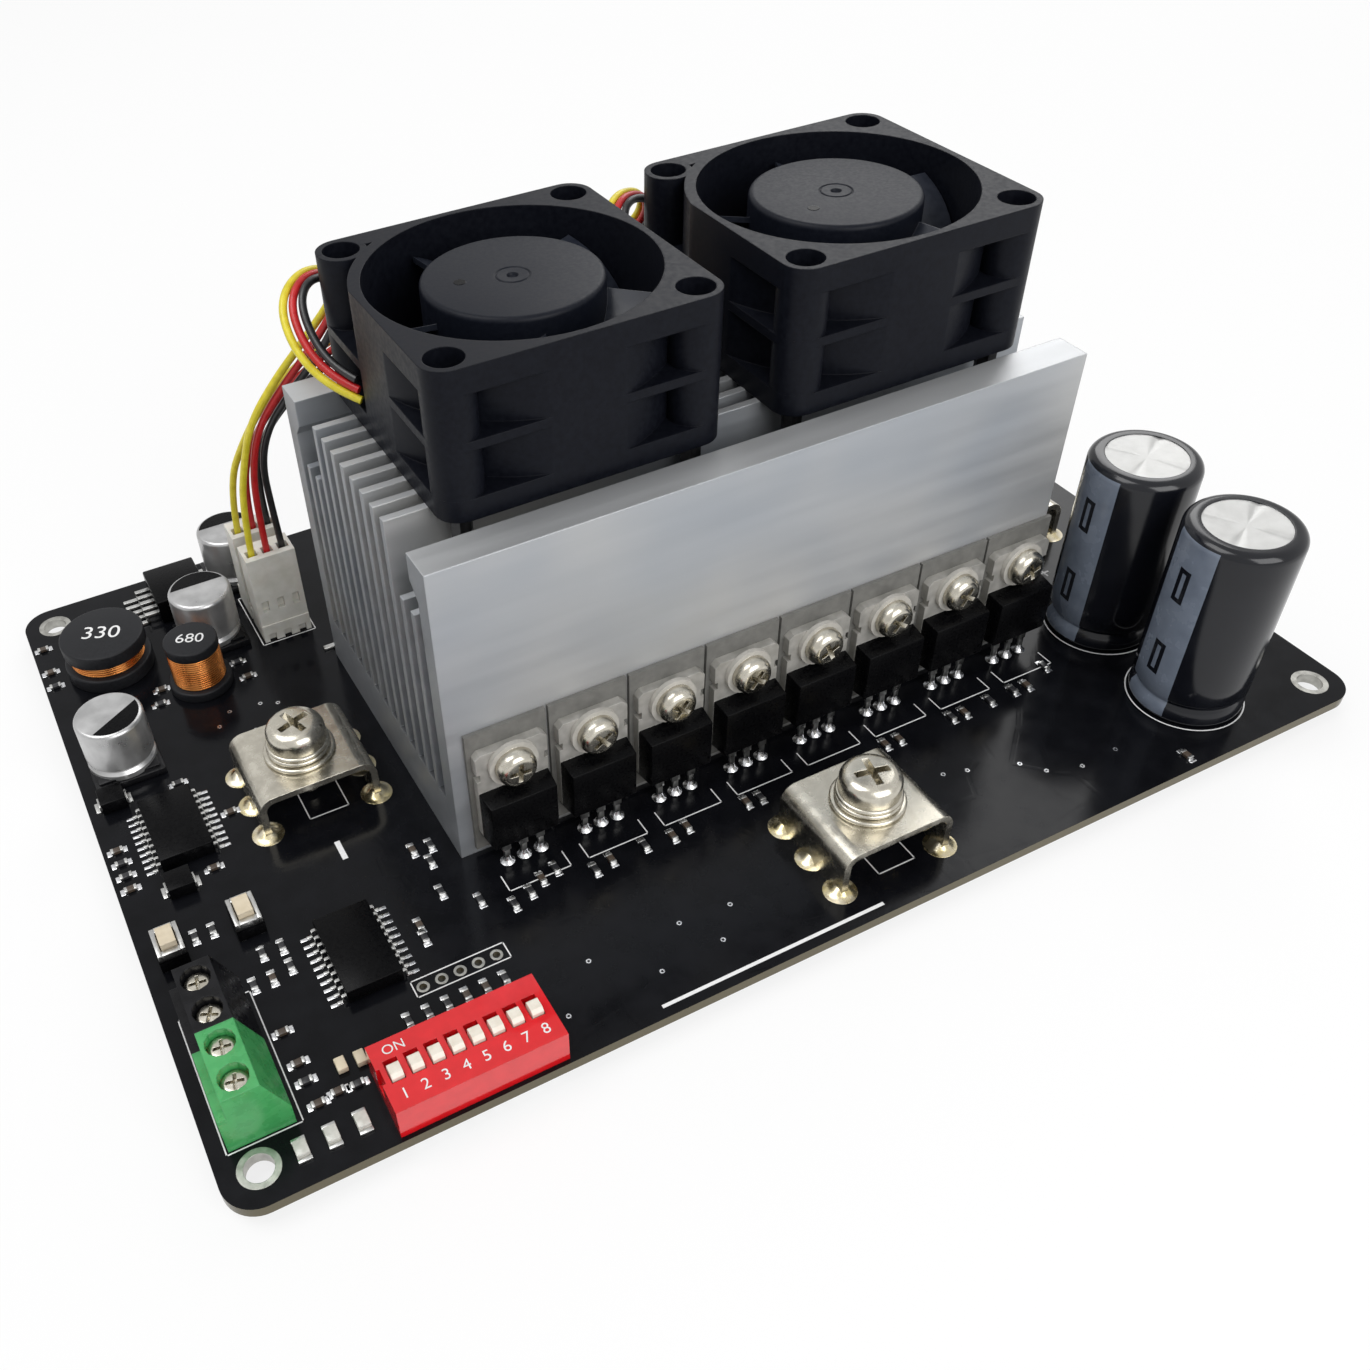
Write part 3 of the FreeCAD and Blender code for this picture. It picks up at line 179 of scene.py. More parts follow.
# The grain group gives every finish its uneven gloss, fine bump and rounded edges
def buildGrain():
    group = bpy.data.node_groups.new("surfaceGrain", "ShaderNodeTree")
    for way, names in (("INPUT", ("Vector", "Scale", "Smooth", "Rough", "Depth", "Edge")),
                       ("OUTPUT", ("Shade", "Roughness", "Normal"))):
        for name in names:
            kind = "NodeSocketVector" if name in ("Vector", "Normal") else "NodeSocketFloat"
            group.interface.new_socket(name, in_out=way, socket_type=kind)
    given = put(group, "NodeGroupInput").outputs
    noise = put(group, "ShaderNodeTexNoise", {"Vector": given["Vector"], "Scale": given["Scale"],
                                              "Detail": 5}).outputs[0]
    shade = put(group, "ShaderNodeMapRange", {"Value": noise, "From Min": 0.32, "From Max": 0.68}).outputs[0]
    gloss = put(group, "ShaderNodeMapRange", {"Value": shade, "To Min": given["Smooth"],
                                              "To Max": given["Rough"]})
    edge = put(group, "ShaderNodeBevel", {"Radius": given["Edge"]}, samples=4)
    bump = put(group, "ShaderNodeBump", {"Normal": edge.outputs[0], "Height": noise,
                                         "Distance": given["Depth"]})
    put(group, "NodeGroupOutput", {"Shade": shade, "Roughness": gloss.outputs[0], "Normal": bump.outputs[0]})
    return group


grain = buildGrain()


def feed(finish, socket, source):
    finish.node_tree.links.new(source, finish.node_tree.nodes["Principled BSDF"].inputs[socket])


def mixed(finish, factor, first, second, blend="MIX"):
    sockets = {0: factor, 6: first, 7: second}  # the three that the colour mix uses
    return add(finish, "ShaderNodeMix", sockets, data_type="RGBA", blend_type=blend).outputs[2]


def sums(finish, operation, first, second):
    return add(finish, "ShaderNodeMath", {0: first, 1: second}, operation=operation).outputs[0]


def rgb(red, green, blue):
    return (red, green, blue, 1.0)


# dark and light are the two tones that the grain blends, gloss the lowest and highest roughness
def surface(name, dark, light, gloss, scale=900.0, depth=0.00001, edge=0.0001, stretch=(1, 1, 1), **sockets):
    finish = bpy.data.materials.new(name)
    finish.use_nodes = True
    shader = finish.node_tree.nodes["Principled BSDF"]
    for socket, value in sockets.items():
        shader.inputs[socket.replace("_", " ")].default_value = value
    place = add(finish, "ShaderNodeTexCoord")
    stretched = add(finish, "ShaderNodeMapping", {"Vector": place.outputs["Object"], "Scale": stretch})
    fine = add(finish, "ShaderNodeGroup", {"Vector": stretched.outputs[0], "Scale": scale, "Smooth": gloss[0],
                                           "Rough": gloss[1], "Depth": depth, "Edge": edge}, node_tree=grain)
    feed(finish, "Base Color", mixed(finish, fine.outputs["Shade"], rgb(*dark), rgb(*light)))
    feed(finish, "Roughness", fine.outputs["Roughness"])
    feed(finish, "Normal", fine.outputs["Normal"])
    return finish


def objectAxes(finish):
    place = add(finish, "ShaderNodeTexCoord")
    return place.outputs["Object"], add(finish, "ShaderNodeSeparateXYZ", {0: place.outputs["Object"]}).outputs


def baseColour(finish):
    return finish.node_tree.nodes["Principled BSDF"].inputs["Base Color"].links[0].from_socket


# Black solder mask on the faces, bare glass fibre on the cut edge, faint tracks under the mask
def solderMask():
    finish = surface("solderMask", (0.0032, 0.0034, 0.0045), (0.0055, 0.0058, 0.0075), (0.13, 0.2), scale=260,
                     depth=0.000004, edge=0.00005, Specular_IOR_Level=0.14)
    whole, axes = objectAxes(finish)
    tracks = add(finish, "ShaderNodeTexVoronoi", {"Vector": whole, "Scale": 170}, feature="DISTANCE_TO_EDGE",
                 distance="CHEBYCHEV")
    lines = add(finish, "ShaderNodeMapRange", {"Value": tracks.outputs[0], "From Min": 0.03,
                                               "From Max": 0.06})
    shader = finish.node_tree.nodes["Principled BSDF"]
    raised = add(finish, "ShaderNodeBump", {"Height": lines.outputs[0], "Distance": 0.000012,
                                            "Strength": 0.25,
                                            "Normal": shader.inputs["Normal"].links[0].from_socket})
    normal = add(finish, "ShaderNodeNewGeometry").outputs["Normal"]
    up = add(finish, "ShaderNodeSeparateXYZ", {0: normal}).outputs[2]
    face = sums(finish, "GREATER_THAN", sums(finish, "ABSOLUTE", up, 0.0), 0.5)
    feed(finish, "Base Color", mixed(finish, face, rgb(0.115, 0.1, 0.062), baseColour(finish)))
    feed(finish, "Normal", raised.outputs[0])
    return finish


# Mill finish aluminium: lines that follow the extrusion; broad smudges of blue and straw, partly the metal's
# own tone and partly painted reflection; painted shade towards the right end, on the top faces and on the
# channel floors; darker end faces
def extrusion():
    finish = surface("aluminiumWithPaintedLight", (0.56, 0.562, 0.565), (0.61, 0.61, 0.61), (0.44, 0.54), scale=60,
                     depth=0.000002, edge=0.00025, stretch=(0.5, 7, 7), Metallic=0.7)
    whole, axes = objectAxes(finish)
    # Broad smudges of blue and straw: partly the metal's own uneven tone, partly painted reflection
    smudgeAndReflection = add(finish, "ShaderNodeTexNoise", {"Vector": whole, "Scale": 15, "Detail": 3, "Roughness": 0.55})
    # Painted shade: darker and bluer towards the right end (+x)
    rightEndShade = add(finish, "ShaderNodeMapRange", {"Value": axes[0], "From Min": -0.01, "From Max": 0.04,
                                               "To Max": 0.13})
    smudgeReflectionShadeTint = add(finish, "ShaderNodeValToRGB",
               {"Fac": sums(finish, "SUBTRACT", smudgeAndReflection.outputs[0], rightEndShade.outputs[0])})
    stops = smudgeReflectionShadeTint.color_ramp.elements
    stops[0].position = 0.32
    stops[0].color = rgb(0.64, 0.69, 0.76)
    stops[1].position = 0.56
    stops[1].color = rgb(1.0, 0.985, 0.95)
    coloured = mixed(finish, 1.0, baseColour(finish), smudgeReflectionShadeTint.outputs[0], "MULTIPLY")
    normal = add(finish, "ShaderNodeNewGeometry").outputs["Normal"]
    up = add(finish, "ShaderNodeSeparateXYZ", {0: normal}).outputs[2]
    # Painted shade: upward faces at the top of the heatsink, under the fans, set to a darker grey
    high = add(finish, "ShaderNodeMapRange", {"Value": axes[2], "From Min": 0.046,
                                              "From Max": 0.05}).outputs[0]
    paintedTopShade = sums(finish, "MULTIPLY", sums(finish, "GREATER_THAN", up, 0.7), high)
    faced = mixed(finish, paintedTopShade, coloured, rgb(0.5, 0.51, 0.52))
    # Faces that point towards +x or -x are darker
    side = add(finish, "ShaderNodeSeparateXYZ", {0: normal}).outputs[0]
    endFaces = sums(finish, "GREATER_THAN", sums(finish, "ABSOLUTE", side, 0.0), 0.7)
    ends = mixed(finish, endFaces, faced, rgb(0.3, 0.315, 0.335))
    # Painted shade: upward faces low in the channels between the fins are darkened
    low = add(finish, "ShaderNodeMapRange", {"Value": axes[2], "From Min": 0.02, "From Max": 0.03,
                                             "To Min": 1.0, "To Max": 0.0}).outputs[0]
    channelShade = sums(finish, "MULTIPLY", sums(finish, "GREATER_THAN", up, 0.7), low)
    feed(finish, "Base Color", mixed(finish, channelShade, ends, rgb(0.1, 0.104, 0.11)))
    return finish


finishes = {
    "mask": solderMask(),
    "aluminium": extrusion(),
    "fan": surface("fanPlastic", (0.004, 0.0045, 0.0075), (0.0065, 0.0075, 0.0115), (0.36, 0.48), scale=1500,
            depth=0.000006, edge=0.00022, Specular_IOR_Level=0.1),
    "rotor": surface("rotorPlastic", (0.0045, 0.0055, 0.0095), (0.0065, 0.008, 0.013), (0.38, 0.48),
            scale=2200, depth=0.000008, edge=0.00015, Specular_IOR_Level=0.12),
    # The blades are the rotor's plastic made lighter and glossier: a painted sheen
    "blade": surface("bladePaintedSheen", (0.012, 0.0145, 0.022), (0.018, 0.021, 0.03), (0.3, 0.4), scale=1200,
            depth=0.000006, edge=0.00012, Specular_IOR_Level=0.3),
    "darkSteel": surface("blackenedSteel", (0.03, 0.03, 0.032), (0.06, 0.06, 0.062), (0.3, 0.45),
            Metallic=0.8),
    "nickel": surface("nickelPlate", (0.5, 0.47, 0.4), (0.62, 0.59, 0.51), (0.2, 0.3), scale=700,
            depth=0.000006, edge=0.00012, Metallic=1.0),
    "tabPlate": surface("tabPlate", (0.41, 0.4, 0.37), (0.52, 0.505, 0.475), (0.42, 0.55), scale=800,
            depth=0.000006, edge=0.00008, Metallic=0.55),
    "tin": surface("tinnedPlate", (0.46, 0.46, 0.45), (0.58, 0.58, 0.565), (0.26, 0.38), scale=800,
            depth=0.000008, edge=0.00008, Metallic=1.0),
    "solder": surface("solder", (0.58, 0.585, 0.6), (0.8, 0.805, 0.82), (0.16, 0.32), scale=1800,
            depth=0.00003, Metallic=1.0),
    "gold": surface("fluxedPad", (0.6, 0.5, 0.25), (0.72, 0.67, 0.55), (0.2, 0.34), scale=500, Metallic=1.0),
    "moulding": surface("blackMoulding", (0.0014, 0.0014, 0.0018), (0.003, 0.003, 0.0034), (0.24, 0.36),
            scale=2500, depth=0.000008, edge=0.00012, Specular_IOR_Level=0.08),
    "sheet": surface("greySheet", (0.125, 0.123, 0.114), (0.165, 0.162, 0.15), (0.6, 0.75), scale=900,
            depth=0.000006),
    "nylon": surface("paleNylon", (0.42, 0.405, 0.37), (0.5, 0.48, 0.44), (0.35, 0.5)),
    "sleeve": surface("shrinkSleeve", (0.0045, 0.005, 0.0075), (0.0075, 0.0085, 0.012), (0.12, 0.2),
            scale=120, depth=0.00001, edge=0.0002, Specular_IOR_Level=0.4),
    "canTop": surface("canTop", (0.44, 0.44, 0.43), (0.55, 0.55, 0.54), (0.4, 0.5), scale=350, Metallic=0.6),
    "stripe": surface("sleeveStripe", (0.13, 0.155, 0.2), (0.18, 0.21, 0.265), (0.2, 0.3), scale=300),
    "can": surface("satinCan", (0.4, 0.4, 0.4), (0.56, 0.56, 0.56), (0.26, 0.4), scale=300, Metallic=0.8,
            depth=0.000003),
    "ferrite": surface("ferrite", (0.008, 0.0085, 0.01), (0.014, 0.0145, 0.017), (0.4, 0.55), scale=2500,
            depth=0.00001, edge=0.0002, Specular_IOR_Level=0.2),
    "copper": surface("enamelledCopper", (0.6, 0.2, 0.045), (0.72, 0.29, 0.08), (0.2, 0.3), scale=300,
            depth=0.000003, Metallic=0.9),
    "cream": surface("creamPlastic", (0.62, 0.53, 0.38), (0.7, 0.61, 0.46), (0.35, 0.5), edge=0.0002),
    "white": surface("whiteNylon", (0.62, 0.6, 0.54), (0.72, 0.7, 0.65), (0.35, 0.5), scale=500,
            depth=0.00001, edge=0.00015, Subsurface_Weight=0.05),
    "red": surface("redPlastic", (0.6, 0.004, 0.008), (0.68, 0.008, 0.013), (0.14, 0.22), scale=500,
            depth=0.000006, edge=0.00015, Coat_Weight=0.4),
    "slider": surface("sliderPlastic", (0.7, 0.64, 0.54), (0.8, 0.75, 0.66), (0.3, 0.45), edge=0.0001),
    "green": surface("greenPlastic", (0.045, 0.3, 0.085), (0.07, 0.38, 0.12), (0.22, 0.34), scale=500,
            depth=0.000008, edge=0.0002, Subsurface_Weight=0.05),
    "black": surface("blackPlastic", (0.005, 0.005, 0.006), (0.009, 0.009, 0.0105), (0.22, 0.34), scale=500,
            depth=0.000006, edge=0.0002, Specular_IOR_Level=0.2),
    "ink": surface("whiteInk", (0.74, 0.74, 0.74), (0.82, 0.82, 0.82), (0.45, 0.6), scale=2500),
    "ceramic": surface("darkCeramic", (0.05, 0.035, 0.025), (0.075, 0.055, 0.04), (0.35, 0.5), scale=2500),
    "resistor": surface("resistorBlack", (0.014, 0.014, 0.016), (0.022, 0.022, 0.025), (0.3, 0.4),
            scale=2500),
    "lens": surface("clearLens", (0.66, 0.66, 0.6), (0.78, 0.78, 0.72), (0.12, 0.2), scale=1500,
            Transmission_Weight=0.25),
    "bare": surface("tinnedRing", (0.34, 0.335, 0.31), (0.5, 0.495, 0.46), (0.28, 0.4), scale=900,
            Metallic=1.0),
    "winding": surface("statorWinding", (0.3, 0.12, 0.03), (0.45, 0.2, 0.06), (0.3, 0.4), Metallic=1.0),
}
print("finishes built:", len(finishes))

# CAD pieces that are shown as they are, by finish
coats = {
    "mask": ["circuit_board"],
    "aluminium": ["heatsink"],
    "darkSteel": ["fan_screws"],
    "winding": ["fan_stators"],
    "sheet": ["insulating_sheets"],
    "cream": ["button_plunger_left", "button_plunger_right"],
    "nickel": ["terminal_nuts", "terminal_battery_minus", "terminal_battery_plus", "terminal_motor_front",
            "terminal_motor_back"],
    "red": ["switch_housing"],
    "green": ["signal_block_front"],
    "black": ["signal_block_back"],
    "white": ["fan_headers", "fan_plug_front", "fan_plug_back"],
    "solder": ["terminal_solder", "lead_solder"],
    "slider": [f"switch_slider_{number}" for number in range(1, 9)],
}
for coat, names in coats.items():
    for name in names:
        nodes[name].data.materials.clear()
        nodes[name].data.materials.append(finishes[coat])


# Cross-recess screw head, its seat at z = 0. The rounded edge takes up the outer share of the radius.
roundedShare = 0.38
crownRise = 1.02
slotLift = 0.5
slotTaper = 0.5


def crossHead(radius, height, straight, reach, width, deep):
    head = bmesh.new()
    crown = height - straight
    flat = radius * (1 - roundedShare)
    dome = [(flat + (radius * roundedShare) * math.cos(a), straight + crown * math.sin(a))
            for a in [math.radians(15 * i) for i in range(7)]]
    lathe(head, [(0, 0), (radius, 0)] + dome + [(0, height * crownRise)], 40)
    cross = bmesh.new()
    bmesh.ops.create_cube(cross, size=width)
    cross.normal_update()
    sides = [face for face in cross.faces if abs(face.normal.z) < 0.5]
    for face in bmesh.ops.extrude_discrete_faces(cross, faces=sides)["faces"]:
        face.normal_update()
        bmesh.ops.translate(cross, verts=face.verts, vec=face.normal * (reach - width / 2))
    for vert in cross.verts:
        share, level = (1, height + slotLift) if vert.co.z > 0 else (slotTaper, height - deep)
        vert.co = (vert.co.x * share, vert.co.y * share, level)
    return combined("crossHead", head, [("DIFFERENCE", cross)])


tabScrew = {"radius": 2.8, "height": 2.0, "straight": 0.5, "reach": 1.75, "width": 0.75, "deep": 1.3}
tabBush = {"inner": 1.7, "outer": 3.5}
transistor = {"first": 7.9, "pitch": 11.9, "count": 8, "width": 10.2, "sheet": 0.6, "tab": 1.3, "depth": 4.4,
              "bottom": 4.4, "top": 13.0, "tabTop": 19.5, "hole": 16.7, "bush": 0.7, "leadPitch": 2.54,
              "lap": 0.5, "notch": 1.0, "notchUp": 2.0, "notchTall": 1.2, "bodyGap": 0.4, "taperX": 0.94,
              "taperZ": 0.9, "round": 0.18, "leadBack": 2.75}
rowStart = sink["left"] + transistor["first"]
rowEnd = rowStart + transistor["pitch"] * (transistor["count"] - 1)
turnedRow = Matrix.Translation((rowStart + rowEnd, 2 * sink["front"] + sink["depth"], 0)) @ Matrix.Rotation(
    math.pi, 4, "Z")
rowPlaces = [Matrix.Translation((rowStart + transistor["pitch"] * i, sink["front"], 0))
             for i in range(transistor["count"])]
rowPlaces += [turnedRow @ place for place in rowPlaces]


def tabScrews():
    head = crossHead(**tabScrew)
    face = -transistor["sheet"] - transistor["tab"] - transistor["bush"]
    drawn = bmesh.new()
    for place in rowPlaces:
        tilt = Matrix.Rotation(random.uniform(0, math.tau), 4, "Z")
        seat = Matrix.Translation((0, face, transistor["hole"])) @ Matrix.Rotation(math.pi / 2, 4, "X")
        stamp(drawn, head, [place @ seat @ tilt])
        shank = Matrix.Translation((0, face, transistor["hole"])) @ Matrix.Rotation(-math.pi / 2, 4, "X")
        ringAt(drawn, place @ shank, tabBush["inner"], tabBush["outer"], transistor["bush"], 1)
    return piece("tabScrewHeads", drawn, [finishes["nickel"], finishes["nylon"]],
                 stands=["tab_screws", "tab_bushes"])


# One power transistor facing the front, its sheet's back at y = 0: tab, moulding and three leads
def powerTransistor():
    t = transistor
    plate = bmesh.new()
    back = -t["sheet"]
    front = back - t["tab"]
    half = t["width"] / 2
    low = t["bottom"] + t["lap"]
    tall = t["tabTop"] - low
    block(plate, 0, (front + back) / 2, low, t["width"], t["tab"], tall, 0)
    tool = bmesh.new()
    for side in (-1, 1):
        block(tool, side * half, (front + back) / 2, t["top"] + t["notchUp"], t["notch"], 4, t["notchTall"])
        chop = Matrix.Translation((side * half, (front + back) / 2, t["tabTop"])) @ Matrix.Rotation(
            math.radians(45), 4, "Y")
        bmesh.ops.create_cube(tool, size=1, matrix=chop @ Matrix.Diagonal((t["notch"], 4, t["notch"], 1)))
    drawn = bmesh.new()
    drawn.from_mesh(combined("tab", plate, [("DIFFERENCE", tool)]))
    deep = back - t["depth"]
    rear = back - t["bodyGap"]
    middle = (t["bottom"] + t["top"]) / 2
    body = bmesh.ops.create_cube(drawn, size=1, matrix=Matrix.LocRotScale(
        (0, (deep + rear) / 2, middle), None, (t["width"], rear - deep, t["top"] - t["bottom"])))["verts"]
    faces = paint(body, 1)
    shown = [vert for vert in body if vert.co.y < (deep + rear) / 2]
    bmesh.ops.scale(drawn, verts=shown, vec=(t["taperX"], 1, t["taperZ"]),
                    space=Matrix.Translation((0, -deep, 0.25 - middle)))
    bmesh.ops.bevel(drawn, geom=list({edge for face in faces for edge in face.edges}), offset=t["round"],
                    offset_type="OFFSET", segments=2, profile=0.5, affect="EDGES", material=-1)
    lead = -t["sheet"] - t["leadBack"]
    for pin in (-1, 0, 1):
        x = pin * t["leadPitch"]
        block(drawn, x, lead, 0, 0.8, 0.5, 2.6, 3, bevel=0.05)
        block(drawn, x, lead, 2.3, 1.25, 0.5, 2.4, 3, bevel=0.05)
        lathe(drawn, [(1.05, 0), (0.8, 0.18), (0.55, 0.55), (0.42, 1.1)], 14, 2, (x, lead, 0))
    return asMesh("powerTransistor", drawn)


def transistors():
    pattern = powerTransistor()
    drawn = bmesh.new()
    stamp(drawn, pattern, rowPlaces)
    return piece("powerTransistors", drawn,
                 [finishes[name] for name in ("tabPlate", "moulding", "solder", "tin")],
                 stands=["transistors_front", "transistors_back"])


transistors()
tabScrews()
print("transistor rows made")

# Power terminals: screws and board pads
terminal = {"minus": (29.8, 59.1), "plus": (154.0, 59.1), "motorFront": (93.0, 12.4),
            "motorBack": (93.0, 107.6), "seat": 9.5, "legSide": 8.15, "legPitch": 6.4}
terminalScrew = {"radius": 4.2, "height": 3.1, "straight": 1.5, "reach": 2.7, "width": 1.1, "deep": 1.9}
terminalPlaces = [terminal[name] for name in ("minus", "plus", "motorFront", "motorBack")]
# Flat washer and the two turns of the spring washer: bottom, radius, thickness and edge rounding
washers = ((7.2, 5.1, 0.7, 0.3), (8.0, 4.55, 0.7, 0.34), (8.76, 4.5, 0.7, 0.34))
# The stud's shade is how far in from a washer's edge the black disc under it starts: painted shadow between
# the washers
stud = {"radius": 2.4, "bottom": 0.9, "length": 8.6, "gap": 0.25, "shade": 0.75}


def terminalScrews():
    head = crossHead(**terminalScrew)
    drawn = bmesh.new()
    for number, (x, y) in enumerate(terminalPlaces):
        turn = Matrix.Rotation(0.35 + 0.5 * number, 4, "Z")
        stamp(drawn, head, [Matrix.Translation((x, y, terminal["seat"])) @ turn])
    for x, y in terminalPlaces:
        disc(drawn, x, y, stud["bottom"], stud["radius"], stud["length"])
        bore = stud["radius"] + stud["gap"]
        for low, out, tall, bend in washers:
            side = arc(out - bend, tall - bend, bend, 90, 0, 4) + arc(out - bend, bend, bend, 0, -90, 4)
            lathe(drawn, [(bore, 0), (bore, tall)] + side + [(bore, 0)], 56, 0, (x, y, low))
            # A black disc under each washer: painted shadow in the gaps between the washers
            shade = out - stud["shade"]
            lathe(drawn, [(bore, -0.1), (shade, -0.1), (shade, 0.1), (bore, 0.1)], 40, 1, (x, y, low))
    return piece("terminalScrewHeads", drawn, [finishes["nickel"], finishes["moulding"]],
                 stands=["terminal_screws", "terminal_washers", "terminal_spring_washers"])


padCone = [(2.3, 0), (2.3, 0.05), (1.9, 0.1), (1.3, 0.35), (0.8, 0.9), (0, 1.2)]


def terminalPads():
    drawn = bmesh.new()
    for x, y in terminalPlaces:
        for side in (-1, 1):
            for step in (-1, 0, 1):
                spot = (x + side * terminal["legSide"], y + step * terminal["legPitch"], 0)
                lathe(drawn, padCone, 24, 0, spot)
    return piece("terminalPads", drawn, [finishes["gold"]])


terminalScrews()
terminalPads()

# Large capacitors: sleeve with a pale stripe that has minus boxes, metal top scored with a cross
capacitor = {"radius": 8.0, "height": 30.5, "foot": 0.8, "crimp": 3.2, "crimpHalf": 1.0, "crimpDeep": 0.5,
             "rim": 2.2, "shoulder": 1.5, "stripeTurn": 172.0, "stripeHalf": 27.0, "stripeLow": 0.9,
             "boxes": ((7.0, 12.4), (19.6, 25.0)), "boxEdge": 0.7, "boxHalf": 8.5, "boxHollow": 4,
             "sunk": 0.35, "cross": 0.035, "crossTurn": 0.5, "places": ((152.7, 31.2), (151.7, 12.3))}


def capacitors():
    c = capacitor
    wide = c["radius"]
    tall = c["height"]
    drawn = bmesh.new()
    for x, y in c["places"]:
        wall = [(0, 0), (wide - c["foot"], 0)] + arc(wide - c["foot"], c["foot"], c["foot"], -90, 0, 4)
        wall += [(wide - c["crimpDeep"] * deep, c["crimp"] + c["crimpHalf"] * up)
                 for deep, up in ((0, -1), (0.7, -0.4), (1, 0), (0.7, 0.4), (0, 1))]
        for low, high in c["boxes"]:
            wall += [(wide, z) for z in (low, low + c["boxEdge"], high - c["boxEdge"], high)]
        wall += arc(wide - c["shoulder"], tall - c["shoulder"], c["shoulder"], 0, 90, 7)
        wall += [(wide - c["rim"], tall - 0.05), (wide - c["rim"], tall - 0.4)]
        made = lathe(drawn, wall, 72, 0)
        for face in {face for vert in made for face in vert.link_faces}:
            middle = face.calc_center_median()
            away = abs((math.degrees(math.atan2(middle.y, middle.x)) - c["stripeTurn"] + 180) % 360 - 180)
            inBox = any(low < middle.z < high for low, high in c["boxes"])
            inside = any(low + c["boxEdge"] < middle.z < high - c["boxEdge"] for low, high in c["boxes"])
            boxed = inBox and away < c["boxHalf"] and not (inside and away < c["boxHollow"])
            if away < c["stripeHalf"] and c["stripeLow"] < middle.z < tall - c["shoulder"] / 2 and not boxed:
                face.material_index = 2
        bmesh.ops.translate(drawn, verts=made, vec=(x, y, 0))
        rim = wide - c["rim"] + 0.1
        top = lathe(drawn, [(rim * share, tall - c["sunk"]) for share in (1, 0.66, 0.33, 0)], 64, 1)
        for vert in top:
            turn = math.atan2(vert.co.y, vert.co.x) - c["crossTurn"]
            vert.co.z += c["cross"] * vert.co.xy.length * min(abs(math.sin(2 * turn)) * 3, 1)
        bmesh.ops.translate(drawn, verts=top, vec=(x, y, 0))
    return piece("bigCapacitors", drawn, [finishes["sleeve"], finishes["canTop"], finishes["stripe"]],
                 stands=["capacitor_back", "capacitor_front"])


capacitors()

# Small cans
can = {"radius": 5.0, "height": 9.97, "base": 10.3, "baseHeight": 1.2, "step": 0.5, "bottom": 1.3,
       "waist": 2.6, "waistDeep": 0.45, "round": 0.6, "markFrom": 1.3,
       "places": ((7.3, 76.9, -58), (27.2, 99.1, 90), (36.0, 113.4, 90))}  # x, y and the mark's turn


def smallCans():
    drawn = bmesh.new()
    for x, y, side in can["places"]:
        block(drawn, x, y, 0, can["base"], can["base"], can["baseHeight"], 1, bevel=0.3)
        inner = can["base"] - 1.2
        block(drawn, x, y, can["baseHeight"], inner, inner, can["step"], 1, bevel=0.2)
        wide = can["radius"]
        waist = can["waist"]
        wall = [(0, can["bottom"]), (wide, can["bottom"]), (wide, waist - 0.5),
                (wide - can["waistDeep"], waist), (wide, waist + 0.6)]
        bend = can["round"]
        wall += arc(wide - bend, can["height"] - bend, bend, 0, 90, 4) + [(0, can["height"])]
        lathe(drawn, wall, 56, 0, (x, y, 0))
        mark = bmesh.new()
        disc(mark, 0, 0, 0, wide - 0.55, 0.03, 2, 56)
        bmesh.ops.bisect_plane(mark, geom=mark.verts[:] + mark.edges[:] + mark.faces[:],
                               plane_co=(can["markFrom"], 0, 0), plane_no=(-1, 0, 0), clear_outer=True)
        turn = math.radians(side)
        stamp(drawn, asMesh("canMark", mark),
              [Matrix.Translation((x, y, can["height"])) @ Matrix.Rotation(turn, 4, "Z")])
    return piece("smallCanBodies", drawn, [finishes["can"], finishes["black"], finishes["moulding"]],
                 stands=["small_cans"])


smallCans()

# Chokes: a core with two flanges, and layers of enamelled wire round its neck
chokes = {"wide": {"x": 10.9, "y": 100.4, "foot": 6.85, "head": 6.55, "under": 2.3, "over": 4.4, "top": 6.7,
                   "wound": 5.9},
          "tall": {"x": 22.6, "y": 88.9, "foot": 4.95, "head": 4.15, "under": 1.6, "over": 7.3, "top": 9.0,
                   "wound": 4.1}}
windingWire = 0.2
windingDepth = 1.2


def drumChokes():
    drawn = bmesh.new()
    for c in chokes.values():
        neck = c["wound"] - windingDepth
        foot = arc(c["foot"] - 0.2, 0.2, 0.2, -90, 0, 3)
        foot += arc(c["foot"] - 0.3, c["under"] - 0.3, 0.3, 0, 90, 3)
        head = arc(c["head"] - 0.15, c["over"] + 0.15, 0.15, -90, 0, 3)
        head += arc(c["head"] - 0.25, c["top"] - 0.25, 0.25, 0, 90, 3)
        core = [(0, 0)] + foot + [(neck, c["under"]), (neck, c["over"])] + head + [(0, c["top"])]
        lathe(drawn, core, 56, 1, (c["x"], c["y"], 0))
        low = c["under"] + 0.05
        turns = int((c["over"] - low) / (2 * windingWire))
        for turn in range(turns):
            z = low + windingWire * (2 * turn + 1)
            side = [(c["wound"] - windingWire + windingWire * math.cos(a), z + windingWire * math.sin(a))
                    for a in [math.tau * i / 8 for i in range(9)]]
            lathe(drawn, side, 40, 0, (c["x"], c["y"], 0))
        wall = c["wound"] - windingWire
        lathe(drawn, [(neck + 0.02, low), (wall, low), (wall, c["over"] - 0.03),
                      (neck + 0.02, c["over"] - 0.03)], 40, 0, (c["x"], c["y"], 0))
    return piece("drumChokes", drawn, [finishes["copper"], finishes["ferrite"]],
                 stands=["choke_windings", "choke_core_wide", "choke_core_tall"])


drumChokes()

